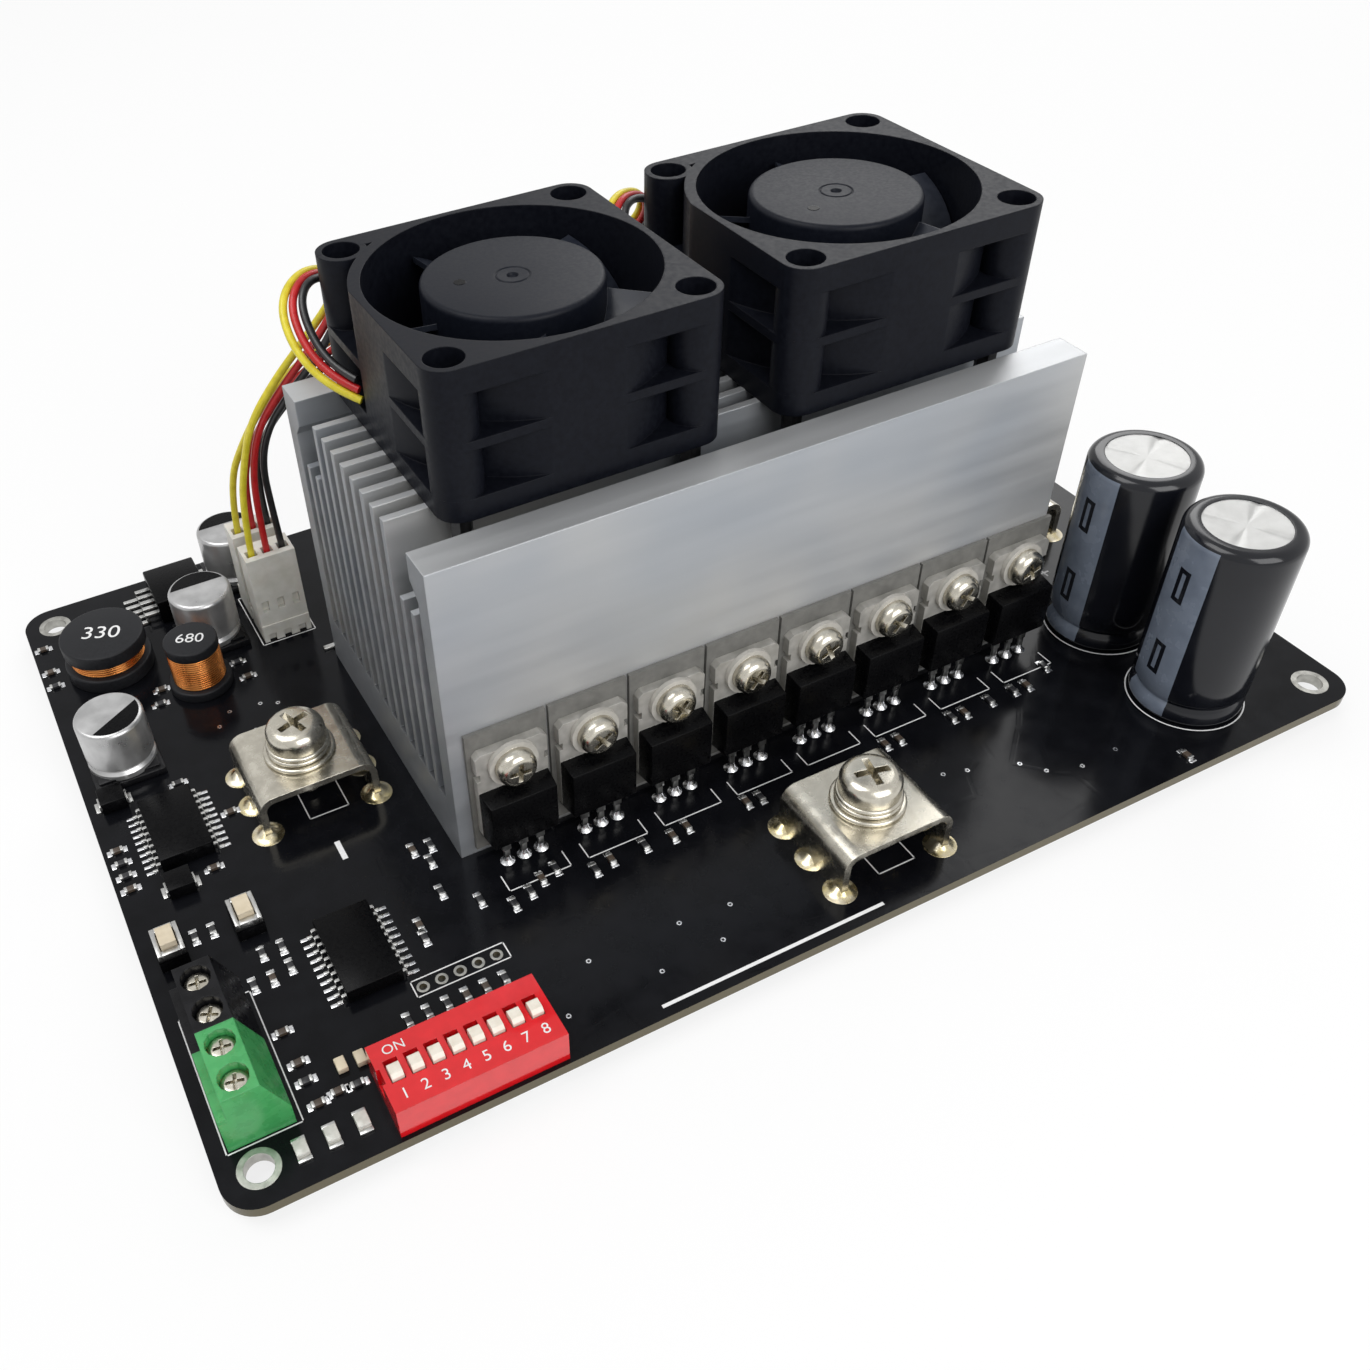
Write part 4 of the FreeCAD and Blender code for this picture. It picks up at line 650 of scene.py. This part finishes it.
# Small surface parts: body, two tinned ends and their solder
lying = [(27.1 + 2.62 * step, 14.6) for step in range(6)]
lying += [(14.4, 33.2), (17.0, 29.5), (17.0, 33.0), (14.4, 28.8), (11.9, 28.9), (46.4, 24.7), (49.2, 25.6),
          (51.5, 26.8), (53.9, 27.5), (34.0, 27.5), (33.8, 25.3), (7.4, 40.0), (9.8, 40.0), (38.2, 39.9),
          (40.7, 39.6), (39.6, 36.9), (38.7, 31.3), (42.7, 27.5)]
lying += [(58.5, 24.7), (61.2, 25.2), (66.4, 25.2), (70.6, 24.8), (73.2, 25.4), (82.8, 25.2), (85.0, 25.0),
          (106.5, 25.0), (108.9, 24.9), (118.4, 24.8), (120.7, 24.7), (125.6, 24.9), (130.1, 25.0),
          (132.6, 24.8), (137.8, 26.8), (141.9, 2.3)]
across = [(12.9, 20.5), (13.2, 15.5), (13.2, 12.7), (13.5, 9.2), (16.1, 9.6), (18.5, 9.4)]
across += [(2.0, 52.1 + 2.6 * step) for step in range(4)]
across += [(13.1, 50.3), (18.2, 59.3), (13.1, 68.6), (1.7, 99.4), (1.7, 103.2), (1.8, 109.6), (16.4, 90.2),
           (15.4, 86.9), (29.4, 86.4), (28.9, 90.6)]
creamParts = ((17.6, 12.6), (20.0, 12.4))
strap = {"x": 44.5, "y": 86.6, "length": 4.5, "width": 0.9, "height": 0.5}
darkShare = 0.45  # the share of resistors among the small parts
vias = [(41.0 + 5.3 * i + 1.7 * math.sin(5 * i), 9.0 + 3.1 * math.cos(3 * i)) for i in range(7)]
vias += [(110.0 + 4.6 * i + 1.5 * math.sin(4 * i), 12.0 + 4.2 * math.cos(7 * i)) for i in range(6)]
vias += [(22.0 + 2.6 * i + 0.9 * math.sin(6 * i), 77.5 + 3.4 * math.sin(2.3 * i)) for i in range(6)]


def smallPart(body):
    drawn = bmesh.new()
    block(drawn, 0, 0, 0.05, 1.0, 0.86, 0.5, body, bevel=0.04)
    for side in (-1, 1):
        block(drawn, side * 0.66, 0, 0.02, 0.4, 0.9, 0.56, 2, bevel=0.06)
        block(drawn, side * 1.1, 0, 0, 0.65, 1.1, 0.14, 3, bevel=0.06)
    return asMesh("smallPart", drawn)


def smallParts():
    kinds = [smallPart(0), smallPart(1)]
    drawn = bmesh.new()
    for places, turn in ((lying, math.pi / 2), (across, 0)):
        for x, y in places:
            kind = kinds[random.random() < darkShare]
            stamp(drawn, kind, [Matrix.Translation((x, y, 0)) @ Matrix.Rotation(turn, 4, "Z")])
    for x, y in creamParts:
        block(drawn, x, y, 0.05, 1.3, 1.9, 0.9, 4, bevel=0.1)
    block(drawn, strap["x"], strap["y"], 0.02, strap["length"], strap["width"], strap["height"], 2, bevel=0.1)
    for x, y in vias:
        ring(drawn, x, y, 0, 0.17, 0.36, 0.02, 3, 12)
    return piece("smallSurfaceParts", drawn,
                 [finishes[name] for name in ("resistor", "ceramic", "tin", "solder", "cream")],
                 stands=["chip_parts"])


smallParts()

# Indicator LEDs: white foot with tinned ends and a clear lens
leds = {"x": (9.8, 13.5, 17.2), "y": 4.45, "length": 3.2, "width": 1.6, "foot": 0.5, "lens": 0.6,
        "lensShare": 0.62, "endAt": 1.35, "end": 0.55}


def indicatorLeds():
    drawn = bmesh.new()
    for x in leds["x"]:
        block(drawn, x, leds["y"], 0, leds["width"], leds["length"], leds["foot"], 0, bevel=0.05)
        block(drawn, x, leds["y"], leds["foot"], leds["width"], leds["length"] * leds["lensShare"],
              leds["lens"], 1, bevel=0.12)
        for side in (-1, 1):
            at = leds["y"] + side * leds["endAt"]
            block(drawn, x, at, 0, leds["width"] + 0.1, leds["end"], leds["foot"] + 0.06, 2, bevel=0.06)
    return piece("indicators", drawn, [finishes["white"], finishes["lens"], finishes["tin"]],
                 stands=["indicator_leds"])


indicatorLeds()

# Chip packages, regulator, diodes and push buttons with their metal leads
chip = {"places": ((10.5, 59.4), (25.35, 26.9)), "width": 7.5, "length": 12.8, "height": 2.4, "pitch": 1.27,
        "pin": 0.42, "pinThick": 0.25, "pinTop": 1.3, "pad": 1.7}
regulator = {"x": 21.0, "y": 111.4, "length": 8.6, "width": 10.0, "height": 4.4, "pitch": 1.7, "pin": 0.8,
             "tab": 2.2, "tabHeight": 1.3}
diode = {"places": ((8.2, 49.2), (3.8, 69.4)), "length": 3.65, "width": 3.6, "height": 2.0, "pin": 2.0}
button = {"places": ((4.1, 39.0), (14.3, 39.0)), "width": 3.8, "depth": 5.2, "floor": 1.75, "body": 2.2,
          "plate": 3.1, "wellWidth": 2.34, "wellDepth": 3.34}


def chipPins(drawn, x, y):
    half = chip["width"] / 2
    for side in (-1, 1):
        for number in range(10):
            at = y + (number - 4.5) * chip["pitch"]
            wide = chip["pin"]
            thick = chip["pinThick"]
            block(drawn, x + side * (half + 0.2), at, chip["pinTop"] - thick, 0.5, wide, thick, 1)
            block(drawn, x + side * (half + 0.5), at, 0.02, thick, wide, 1.25, 1, bevel=0.06)
            block(drawn, x + side * (half + 0.9), at, 0.02, 0.85, wide, thick, 1, bevel=0.06)
            block(drawn, x + side * (half + 1.35), at, 0, chip["pad"], 0.5, 0.08, 2, bevel=0.03)


def darkParts():
    drawn = bmesh.new()
    for x, y in chip["places"]:
        block(drawn, x, y, 0.2, chip["width"], chip["length"], chip["height"] - 0.2, 0, bevel=0.18)
        chipPins(drawn, x, y)
    r = regulator
    block(drawn, r["x"] + r["length"] / 2, r["y"], 0.1, r["length"], r["width"], r["height"] - 0.1, 0,
          bevel=0.25)
    block(drawn, r["x"] + r["length"] + 0.1, r["y"], 0, r["tab"], r["width"], r["tabHeight"], 1, bevel=0.08)
    for step in range(-2, 3):
        at = r["y"] + step * r["pitch"]
        block(drawn, r["x"] - 1.0, at, 1.35, 2.6, r["pin"], 0.5, 1, bevel=0.08)
        block(drawn, r["x"] - 2.05, at, 0.02, 0.5, r["pin"], 1.8, 1, bevel=0.1)
        block(drawn, r["x"] - 3.2, at, 0.02, 2.8, r["pin"], 0.5, 1, bevel=0.1)
    for x, y in diode["places"]:
        block(drawn, x, y, 0.2, diode["length"], diode["width"], diode["height"], 0, bevel=0.15)
        for side in (-1, 1):
            block(drawn, x + side * 1.95, y, 0.05, 0.3, diode["pin"], 1.1, 1, bevel=0.05)
            block(drawn, x + side * 2.3, y, 0, 0.7, diode["pin"], 0.25, 1, bevel=0.05)
    return piece("darkPackages", drawn, [finishes["moulding"], finishes["tin"], finishes["solder"]],
                 stands=["chip_left", "chip_front", "regulator", "diodes"])


def buttons():
    b = button
    drawn = bmesh.new()
    for x, y in b["places"]:
        block(drawn, x, y, 0, b["width"], b["depth"], b["floor"], 0, bevel=0.1)
        wall = b["body"] - b["floor"]
        metal = b["plate"] - b["body"]
        for side in (-1, 1):
            edge = (b["width"] + b["wellWidth"]) / 4
            wide = (b["width"] - b["wellWidth"]) / 2
            block(drawn, x + side * edge, y, b["floor"], wide, b["depth"], wall, 0)
            block(drawn, x + side * (edge - 0.05), y, b["body"], wide - 0.12, b["depth"] - 0.3, metal, 1,
                  bevel=0.08)
            edge = (b["depth"] + b["wellDepth"]) / 4
            deep = (b["depth"] - b["wellDepth"]) / 2
            block(drawn, x, y + side * edge, b["floor"], b["wellWidth"], deep, wall, 0)
            block(drawn, x, y + side * (edge - 0.05), b["body"], b["wellWidth"], deep - 0.12, metal, 1,
                  bevel=0.05)
            for step in (-1, 1):
                block(drawn, x + side * 1.3, y + step * 2.45, 0.02, 0.7, 0.28, 0.9, 1, bevel=0.05)
    return piece("pushButtons", drawn, [finishes["moulding"], finishes["tin"]], stands=["button_frames"])


darkParts()
buttons()

# Screws of the signal blocks, cross recess
blockScrew = {"radius": 1.7, "height": 1.2, "straight": 0.8, "reach": 1.35, "width": 0.5, "deep": 0.7}
blocks = {"screwX": 5.7, "screwSeat": 7.6, "front": 8.3, "pitch": 5.0, "screws": 4}


def blockScrews():
    head = crossHead(**blockScrew)
    drawn = bmesh.new()
    for number in range(blocks["screws"]):
        y = blocks["front"] + blocks["pitch"] * (number + 0.5)
        turn = Matrix.Rotation(random.uniform(0, 1.5), 4, "Z")
        stamp(drawn, head, [Matrix.Translation((blocks["screwX"], y, blocks["screwSeat"])) @ turn])
    return piece("blockScrewHeads", drawn, [finishes["nickel"]], stands=["block_screws"])


blockScrews()

# Fans, each from its heatsink seat: frame with a bored tube, three flanges and four hollow posts
fan = {"side": 38.5, "height": 19.6, "reach": 16.0, "tube": 19.85, "bore": 18.3, "hole": 2.4, "ledge": 3.0,
       "topFlange": 3.3, "bottomFlange": 2.9, "rib": 1.2, "ribUnder": 9.2, "plate": 1.8, "strut": 2.2,
       "sleeve": 2.6, "sleeveTop": 12.5, "screwHole": 1.65, "strutLap": 0.4}
rotor = {"hub": 11.42, "under": 4.4, "top": 18.7, "wall": 1.1, "shaft": 0.95, "tip": 17.55, "blades": 5,
         "low": 6.2, "high": 17.6, "run": 10.4, "runMore": 1.6, "camber": 1.3, "thick": 0.8, "round": 0.7,
         "dimple": (-5.4, 3.6, 0.75), "turns": {"left": 20, "right": 62}}
fanPlaces = {"left": (68.7, 61.6), "right": (115.6, 61.0)}


def plain(shape, *given, **named):
    drawn = bmesh.new()
    shape(drawn, *given, **named)
    return drawn


def roundedPlate(z, height):
    drawn = bmesh.new()
    bmesh.ops.create_cube(drawn, size=1, matrix=Matrix.LocRotScale(
        (0, 0, z + height / 2), None, (fan["side"], fan["side"], height)))
    upright = [edge for edge in drawn.edges if abs(edge.verts[0].co.z - edge.verts[1].co.z) > height / 2]
    bmesh.ops.bevel(drawn, geom=upright, offset=fan["side"] / 2 - fan["reach"], offset_type="OFFSET",
                    segments=8, profile=0.5, affect="EDGES", material=-1)
    return drawn


def fanFrame():
    f = fan
    post = f["side"] / 2 - f["reach"]
    under = f["height"] - f["topFlange"]
    spots = [(x, y) for x in (-f["reach"], f["reach"]) for y in (-f["reach"], f["reach"])]
    notch = plain(block, -f["reach"], f["reach"] / 2 + 0.001, under - 1, 2 * f["reach"] - 2 * post + 0.5,
                  f["reach"], f["topFlange"] + 2)
    for vert in notch.verts:
        vert.co.x = -f["side"] if vert.co.x < -f["reach"] else -f["side"] / 2 + f["reach"] - post
    upper = bmesh.new()
    upper.from_mesh(combined("upper", roundedPlate(under, f["topFlange"]), [("DIFFERENCE", notch)]))
    steps = [("INTERSECT", plain(block, 0, 0, -1, f["side"], f["side"], f["height"] + 2)), ("UNION", upper),
             ("UNION", roundedPlate(0, f["bottomFlange"])), ("UNION", roundedPlate(f["ribUnder"], f["rib"]))]
    steps += [("UNION", plain(disc, x, y, 0, post - 0.004, f["height"] - 0.01, 0, 32)) for x, y in spots]
    steps.append(("DIFFERENCE", plain(disc, 0, 0, -1, f["bore"], f["height"] + 2, 0, 96)))
    for x, y in spots:
        steps.append(("DIFFERENCE", plain(disc, x, y, f["ledge"], f["hole"], f["height"], 0, 28)))
        steps.append(("DIFFERENCE", plain(disc, x, y, -1, f["screwHole"], f["height"], 0, 20)))
    shell = combined("fanShell", plain(disc, 0, 0, 0, f["tube"], f["height"], 0, 96), steps)
    drawn = bmesh.new()
    drawn.from_mesh(shell)
    reach = f["bore"] + f["strutLap"]
    block(drawn, 0, 0, 0.01, 2 * reach, f["strut"], f["plate"] - 0.02)
    block(drawn, 0, 0, 0.01, f["strut"], 2 * reach, f["plate"] - 0.02)
    disc(drawn, 0, 0, 0, rotor["hub"], f["plate"], 0, 48)
    ring(drawn, 0, 0, f["plate"], rotor["shaft"] + 0.1, f["sleeve"], f["sleeveTop"] - f["plate"], 0, 20)
    return asMesh("fanFrame", drawn)


def fanRotor():
    r = rotor
    drawn = bmesh.new()
    outer = [(0, r["top"] - 0.4), (0.55, r["top"] - 0.4), (0.75, r["top"] - 0.06), (1.9, r["top"] - 0.02),
             (2.1, r["top"] - 0.16), (2.3, r["top"] - 0.02)]
    outer += arc(r["hub"] - r["round"], r["top"] - r["round"], r["round"], 90, 0, 5)
    outer += [(r["hub"], r["under"])]
    inner = [(r["hub"] - r["wall"], r["under"]), (r["hub"] - r["wall"], r["top"] - r["wall"]),
             (r["shaft"], r["top"] - r["wall"]), (r["shaft"], fan["plate"] + 0.05), (0, fan["plate"] + 0.05)]
    lathe(drawn, outer + inner, 72)
    # The off-centre hollow in the hub top is drawn as a darker disc: painted shade in the hollow
    x, y, wide = r["dimple"]
    disc(drawn, x, y, r["top"] - 0.1, wide, 0.13, 1, 20)
    for number in range(r["blades"]):
        made = bmesh.ops.create_grid(drawn, x_segments=6, y_segments=10, size=0.5)["verts"]
        for vert in made:
            out = r["hub"] - 0.3 + (r["tip"] - r["hub"] + 0.3) * (vert.co.x + 0.5)
            share = vert.co.y + 0.5
            run = (r["run"] + r["runMore"] * (vert.co.x + 0.5)) * vert.co.y
            rise = r["high"] - r["low"] - r["camber"]
            level = r["low"] + rise * share + r["camber"] * math.sin(math.pi * share)
            vert.co = (math.sqrt(out ** 2 - run ** 2), run, level)
        sheet = list({face for vert in made for face in vert.link_faces})
        solid = bmesh.ops.solidify(drawn, geom=sheet, thickness=r["thick"])["geom"]
        verts = list({vert for vert in solid if isinstance(vert, bmesh.types.BMVert)} | set(made))
        paint(verts, 2)
        turn = Matrix.Rotation(math.tau * number / r["blades"], 3, "Z")
        bmesh.ops.rotate(drawn, verts=verts, cent=(0, 0, 0), matrix=turn)
        bmesh.ops.recalc_face_normals(drawn, faces=list({face for vert in verts for face in vert.link_faces}))
    return asMesh("fanRotor", drawn)


def fans():
    frameMesh = fanFrame()
    rotorMesh = fanRotor()
    print("fan frame faces", len(frameMesh.polygons))
    for side, (x, y) in fanPlaces.items():
        seat = Matrix.Translation((x, y, sink["height"]))
        for name, mesh, coat, turn, carrier, stand in (
                ("fanFrame", frameMesh, "fan", 0, "module", "fan_frame_"),
                ("fanRotor", rotorMesh, "rotor", rotor["turns"][side], "rotor_" + side, "fan_rotor_")):
            drawn = bmesh.new()
            stamp(drawn, mesh, [seat @ Matrix.Rotation(math.radians(turn), 4, "Z")])
            piece(name + side.title(), drawn, [finishes[part] for part in (coat, "moulding", "blade")],
                  carrier, [stand + side])


fans()
print("fans made")

# Fan wires: the route of each wire, from the fan to its plug
wireLook = {"spacing": 1.4, "radius": 0.55, "pitch": 2.54, "plugX": 38.45, "plugY": 95.2, "rowPitch": 7.2,
            "entry": 14.6, "straight": 10.0, "spread": 0.35, "smoothing": 0.975}
postLoop = [(-19.15, 7.0, 5.4, 0.0, 0.3, 0.9), (-21.6, 9.9, 6.5, 0.5, 0.2, 0.7),
            (-23.3, 14.6, 9.4, 0.95, -0.1, 0.3), (-22.9, 19.2, 13.2, 0.85, -0.5, 0.0),
            (-19.4, 22.3, 14.9, 0.1, -1.0, 0.0), (-14.7, 23.6, 13.3, 0.0, -1.0, 0.0),
            (-14.4, 25.4, 8.7, 0.1, -1.0, -0.1)]
routes = {
    "left": [(49.8, 88.4, 50.6, 0.55, -0.6, -0.58), (44.9, 90.2, 44.9, 0.75, -0.2, -0.63),
             (40.9, 92.0, 39.0, 0.91, 0.0, -0.41), (39.2, 94.0, 32.2, 0.97, 0.0, -0.2)],
    "right": [(95.8, 87.8, 53.6, 0.0, -1.0, 0.0), (87.0, 88.0, 53.2, 0.0, -1.0, 0.0),
              (74.0, 88.2, 54.0, 0.0, -1.0, 0.0), (62.0, 89.2, 51.8, 0.2, -0.97, -0.1),
              (52.6, 91.8, 47.4, 0.45, -0.8, -0.4), (45.8, 95.4, 41.2, 0.75, -0.35, -0.55),
              (41.2, 98.8, 33.6, 0.95, 0.0, -0.3)]}
insulation = {"yellow": ((0.62, 0.52, 0.02), (0.74, 0.64, 0.04)),
              "red": ((0.42, 0.008, 0.01), (0.52, 0.014, 0.016)),
              "black": ((0.01, 0.01, 0.011), (0.016, 0.016, 0.018))}


def fanWires():
    look = wireLook
    for row, (side, (fanX, fanY)) in enumerate(fanPlaces.items()):
        route = [(fanX + x, fanY + y, sink["height"] + z, dx, dy, dz) for x, y, z, dx, dy, dz in postLoop]
        route += routes[side]
        plugY = look["plugY"] + row * look["rowPitch"]
        for index, colour in ((-1, "yellow"), (0, "red"), (1, "black")):
            space = index * look["spacing"]
            points = [(x + space * dx, y + space * dy, z + space * dz) for x, y, z, dx, dy, dz in route]
            pin = look["plugX"] + index * look["pitch"]
            points += [(pin - index * look["spread"], plugY - 0.2, look["entry"] + look["straight"]),
                       (pin, plugY, look["entry"])]
            points = [toMetres @ Vector(point) for point in points]
            line = bpy.data.curves.new(f"wire{side.title()}{colour.title()}", "CURVE")
            line.dimensions = "3D"
            line.bevel_depth = look["radius"] / 1000
            line.bevel_resolution = 3
            line.resolution_u = 8
            line.use_fill_caps = True
            spline = line.splines.new("NURBS")
            spline.points.add(len(points) - 1)
            for spot, point in zip(spline.points, points):
                spot.co = (*point, 1)
            spline.order_u = 3
            spline.use_endpoint_u = True
            wire = bpy.data.objects.new(line.name, line)
            scene.collection.objects.link(wire)
            dark, light = insulation[colour]
            if f"{colour}Wire" not in finishes:
                finishes[f"{colour}Wire"] = surface(f"{colour}Wire", dark, light, (0.28, 0.4), scale=900)
            line.materials.append(finishes[f"{colour}Wire"])
            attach(wire, "module")
            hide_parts(f"wire_{side}_{colour}")


fanWires()
print("wires laid")


# White markings and plated rings on the board. Words: text, x, y, height above the board, letter height, turn
marks = {"thick": 0.02, "fine": 0.18, "switchTop": 5.215,
         "words": (("ON", 23.4, 8.75, 5.215, 1.3, 0), ("330", 10.9, 100.4, 6.715, 3.0, -24),
                   ("680", 22.6, 88.9, 9.015, 2.15, -24), ("+", 154.0, 44.6, 0.01, 3.0, 0)),
         "digits": (22.36, 2.54, 2.5, 1.5),
         "lines": ((55.6, 1.6, 88.3, 1.6, 0.5), (29.6, 43.5, 29.6, 46.3, 0.8)),
         "boxes": ((29.5, 17.3, 42.4, 19.9), (2.0, 8.0, 11.2, 28.5), (34.0, 92.6, 42.9, 106.6)),
         "terminalBox": (-2.0, -6.6, 3.8, -0.8), "rowSpan": 4.6, "rowNear": -5.6, "rowFar": -8.4}
header = {"x": 30.7, "y": 18.5, "pitch": 2.54, "holes": 5, "inner": 0.5, "outer": 0.86}


def line(drawn, start, end, width):
    a = Vector((*start, 0))
    b = Vector((*end, 0))
    middle = (a + b) / 2
    turn = math.atan2(b.y - a.y, b.x - a.x)
    block(drawn, middle.x, middle.y, 0, (b - a).length + width, width, marks["thick"], turn=turn)


def frameLine(drawn, left, low, right, high):
    corners = [(left, low), (right, low), (right, high), (left, high)]
    for start, end in zip(corners, corners[1:] + corners[:1]):
        line(drawn, start, end, marks["fine"])


def letters(drawn, words, x, y, z, height, turn):
    curve = bpy.data.curves.new("letters", "FONT")
    curve.body = words
    curve.size = height / 0.72  # a capital's share of the font size
    curve.align_x = "CENTER"
    curve.align_y = "CENTER"
    curve.extrude = 0.008
    item = bpy.data.objects.new("letters", curve)
    scene.collection.objects.link(item)
    mesh = bpy.data.meshes.new_from_object(item.evaluated_get(bpy.context.evaluated_depsgraph_get()))
    bpy.data.objects.remove(item)
    stamp(drawn, mesh, [Matrix.Translation((x, y, z)) @ Matrix.Rotation(math.radians(turn), 4, "Z")])


def markings():
    drawn = bmesh.new()
    for word in marks["words"]:
        letters(drawn, *word)
    first, pitch, y, height = marks["digits"]
    for number in range(8):
        letters(drawn, str(number + 1), first + pitch * number, y, marks["switchTop"], height, 0)
    for startX, startY, endX, endY, width in marks["lines"]:
        line(drawn, (startX, startY), (endX, endY), width)
    for box in marks["boxes"]:
        frameLine(drawn, *box)
    span = marks["rowSpan"]
    near = marks["rowNear"]
    far = marks["rowFar"]
    for place in rowPlaces:
        corners = [place @ Vector((x, y, 0)) for x, y in ((-span, near), (-span, far), (span, far),
                                                          (span, near))]
        for start, end in zip(corners, corners[1:]):
            line(drawn, start.xy, end.xy, marks["fine"])
    left, low, right, high = marks["terminalBox"]
    for x, y in terminalPlaces:
        frameLine(drawn, x + left, y + low, x + right, y + high)
    for x, y in capacitor["places"]:
        ring(drawn, x, y, 0, capacitor["radius"] + 0.2, capacitor["radius"] + 0.4, marks["thick"], 0, 64)
    return piece("whiteMarkings", drawn, [finishes["ink"]])


def rings():
    drawn = bmesh.new()
    inset = board["holeInset"]
    hole = board["holeRadius"]
    for x in (inset, board["length"] - inset):
        for y in (inset, board["width"] - inset):
            ring(drawn, x, y, -board["thick"], hole - 0.05, hole + 0.02, board["thick"])
            ring(drawn, x, y, 0, hole - 0.05, board["ringRadius"], board["ringThick"])
    for number in range(header["holes"]):
        ring(drawn, header["x"] + header["pitch"] * number, header["y"], 0, header["inner"], header["outer"],
             board["ringThick"], 0, 20)
    return piece("platedRings", drawn, [finishes["bare"]])


markings()
rings()


# Stage: a pale floor and soft light from the left, above and behind
def showBackground(finish):
    paths = add(finish, "ShaderNodeLightPath").outputs
    return sums(finish, "MAXIMUM", sums(finish, "MAXIMUM", paths["Is Camera Ray"], paths["Is Glossy Ray"]),
                paths["Is Transmission Ray"])


def stageFloor():
    drawn = bmesh.new()
    bmesh.ops.create_grid(drawn, x_segments=1, y_segments=1, size=3.0)
    floor = bpy.data.objects.new("floor", asMesh("floor", drawn))
    scene.collection.objects.link(floor)
    finish = bpy.data.materials.new("paleFloor")
    finish.use_nodes = True
    shader = finish.node_tree.nodes["Principled BSDF"]
    shader.inputs["Base Color"].default_value = rgb(0.82, 0.82, 0.82)
    shader.inputs["Roughness"].default_value = 0.9
    seen = showBackground(finish)
    glow = add(finish, "ShaderNodeEmission", {"Color": rgb(1, 1, 1), "Strength": 1.0})
    share = sums(finish, "MULTIPLY", seen, 0.8)
    mix = add(finish, "ShaderNodeMixShader", {0: share, 1: shader.outputs[0], 2: glow.outputs[0]})
    output = finish.node_tree.nodes["Material Output"]
    finish.node_tree.links.new(mix.outputs[0], output.inputs["Surface"])
    floor.data.materials.append(finish)


ambient = 0.45  # the world's light on the object


def world():
    sky = bpy.data.worlds.new("studio")
    scene.world = sky
    sky.use_nodes = True
    sky.node_tree.nodes.clear()
    strength = add(sky, "ShaderNodeMapRange", {"Value": showBackground(sky), "To Min": ambient,
                                               "To Max": 1.0})
    back = add(sky, "ShaderNodeBackground", {"Strength": strength.outputs[0]})
    add(sky, "ShaderNodeOutputWorld", {"Surface": back.outputs[0]})


lamps = {
    "key": {"at": (-0.35, 0.1, 0.75), "size": 0.5, "power": 3.4},
    "fill": {"at": (0.1, -0.7, 0.5), "size": 0.6, "power": 4.6},
    "rim": {"at": (0.45, 0.45, 0.5), "size": 0.4, "power": 1.6},
}


def lights():
    for name, lamp in lamps.items():
        data = bpy.data.lights.new(name, "AREA")
        data.shape = "SQUARE"
        data.size = lamp["size"]
        data.energy = lamp["power"]
        item = bpy.data.objects.new(name, data)
        item.location = lamp["at"]
        item.rotation_euler = (Vector((0, 0, 0.02)) - item.location).to_track_quat("-Z", "Y").to_euler()
        scene.collection.objects.link(item)


# Camera: where the photograph was taken from
view = {"azimuth": -24.5, "elevation": 43.31, "roll": -3.56, "distance": 179.67, "target": (60, 40, 15),
        "focal": 1334.11, "centre": (548.62, 717.34), "frame": 1370}


def camera():
    azimuth = math.radians(view["azimuth"])
    elevation = math.radians(view["elevation"])
    back = Vector((math.sin(azimuth) * math.cos(elevation), -math.cos(azimuth) * math.cos(elevation),
                   math.sin(elevation)))
    right = (-back).cross(Vector((0, 0, 1))).normalized()
    up = right.cross(-back)
    roll = math.radians(view["roll"])
    rolledRight = right * math.cos(roll) + up * math.sin(roll)
    rolledUp = up * math.cos(roll) - right * math.sin(roll)
    data = bpy.data.cameras.new("camera")
    item = bpy.data.objects.new("camera", data)
    place = Matrix((rolledRight, rolledUp, back)).transposed().to_4x4()
    place.translation = toMetres @ (Vector(view["target"]) + back * view["distance"])
    item.matrix_world = place
    data.sensor_width = 36
    data.lens = view["focal"] / view["frame"] * data.sensor_width
    data.shift_x = 0.5 - view["centre"][0] / view["frame"]
    data.shift_y = view["centre"][1] / view["frame"] - 0.5
    data.clip_start = 0.01
    scene.collection.objects.link(item)
    scene.camera = item


stageFloor()
world()
lights()
camera()
scene.view_settings.view_transform = "Standard"
bpy.context.view_layer.update()
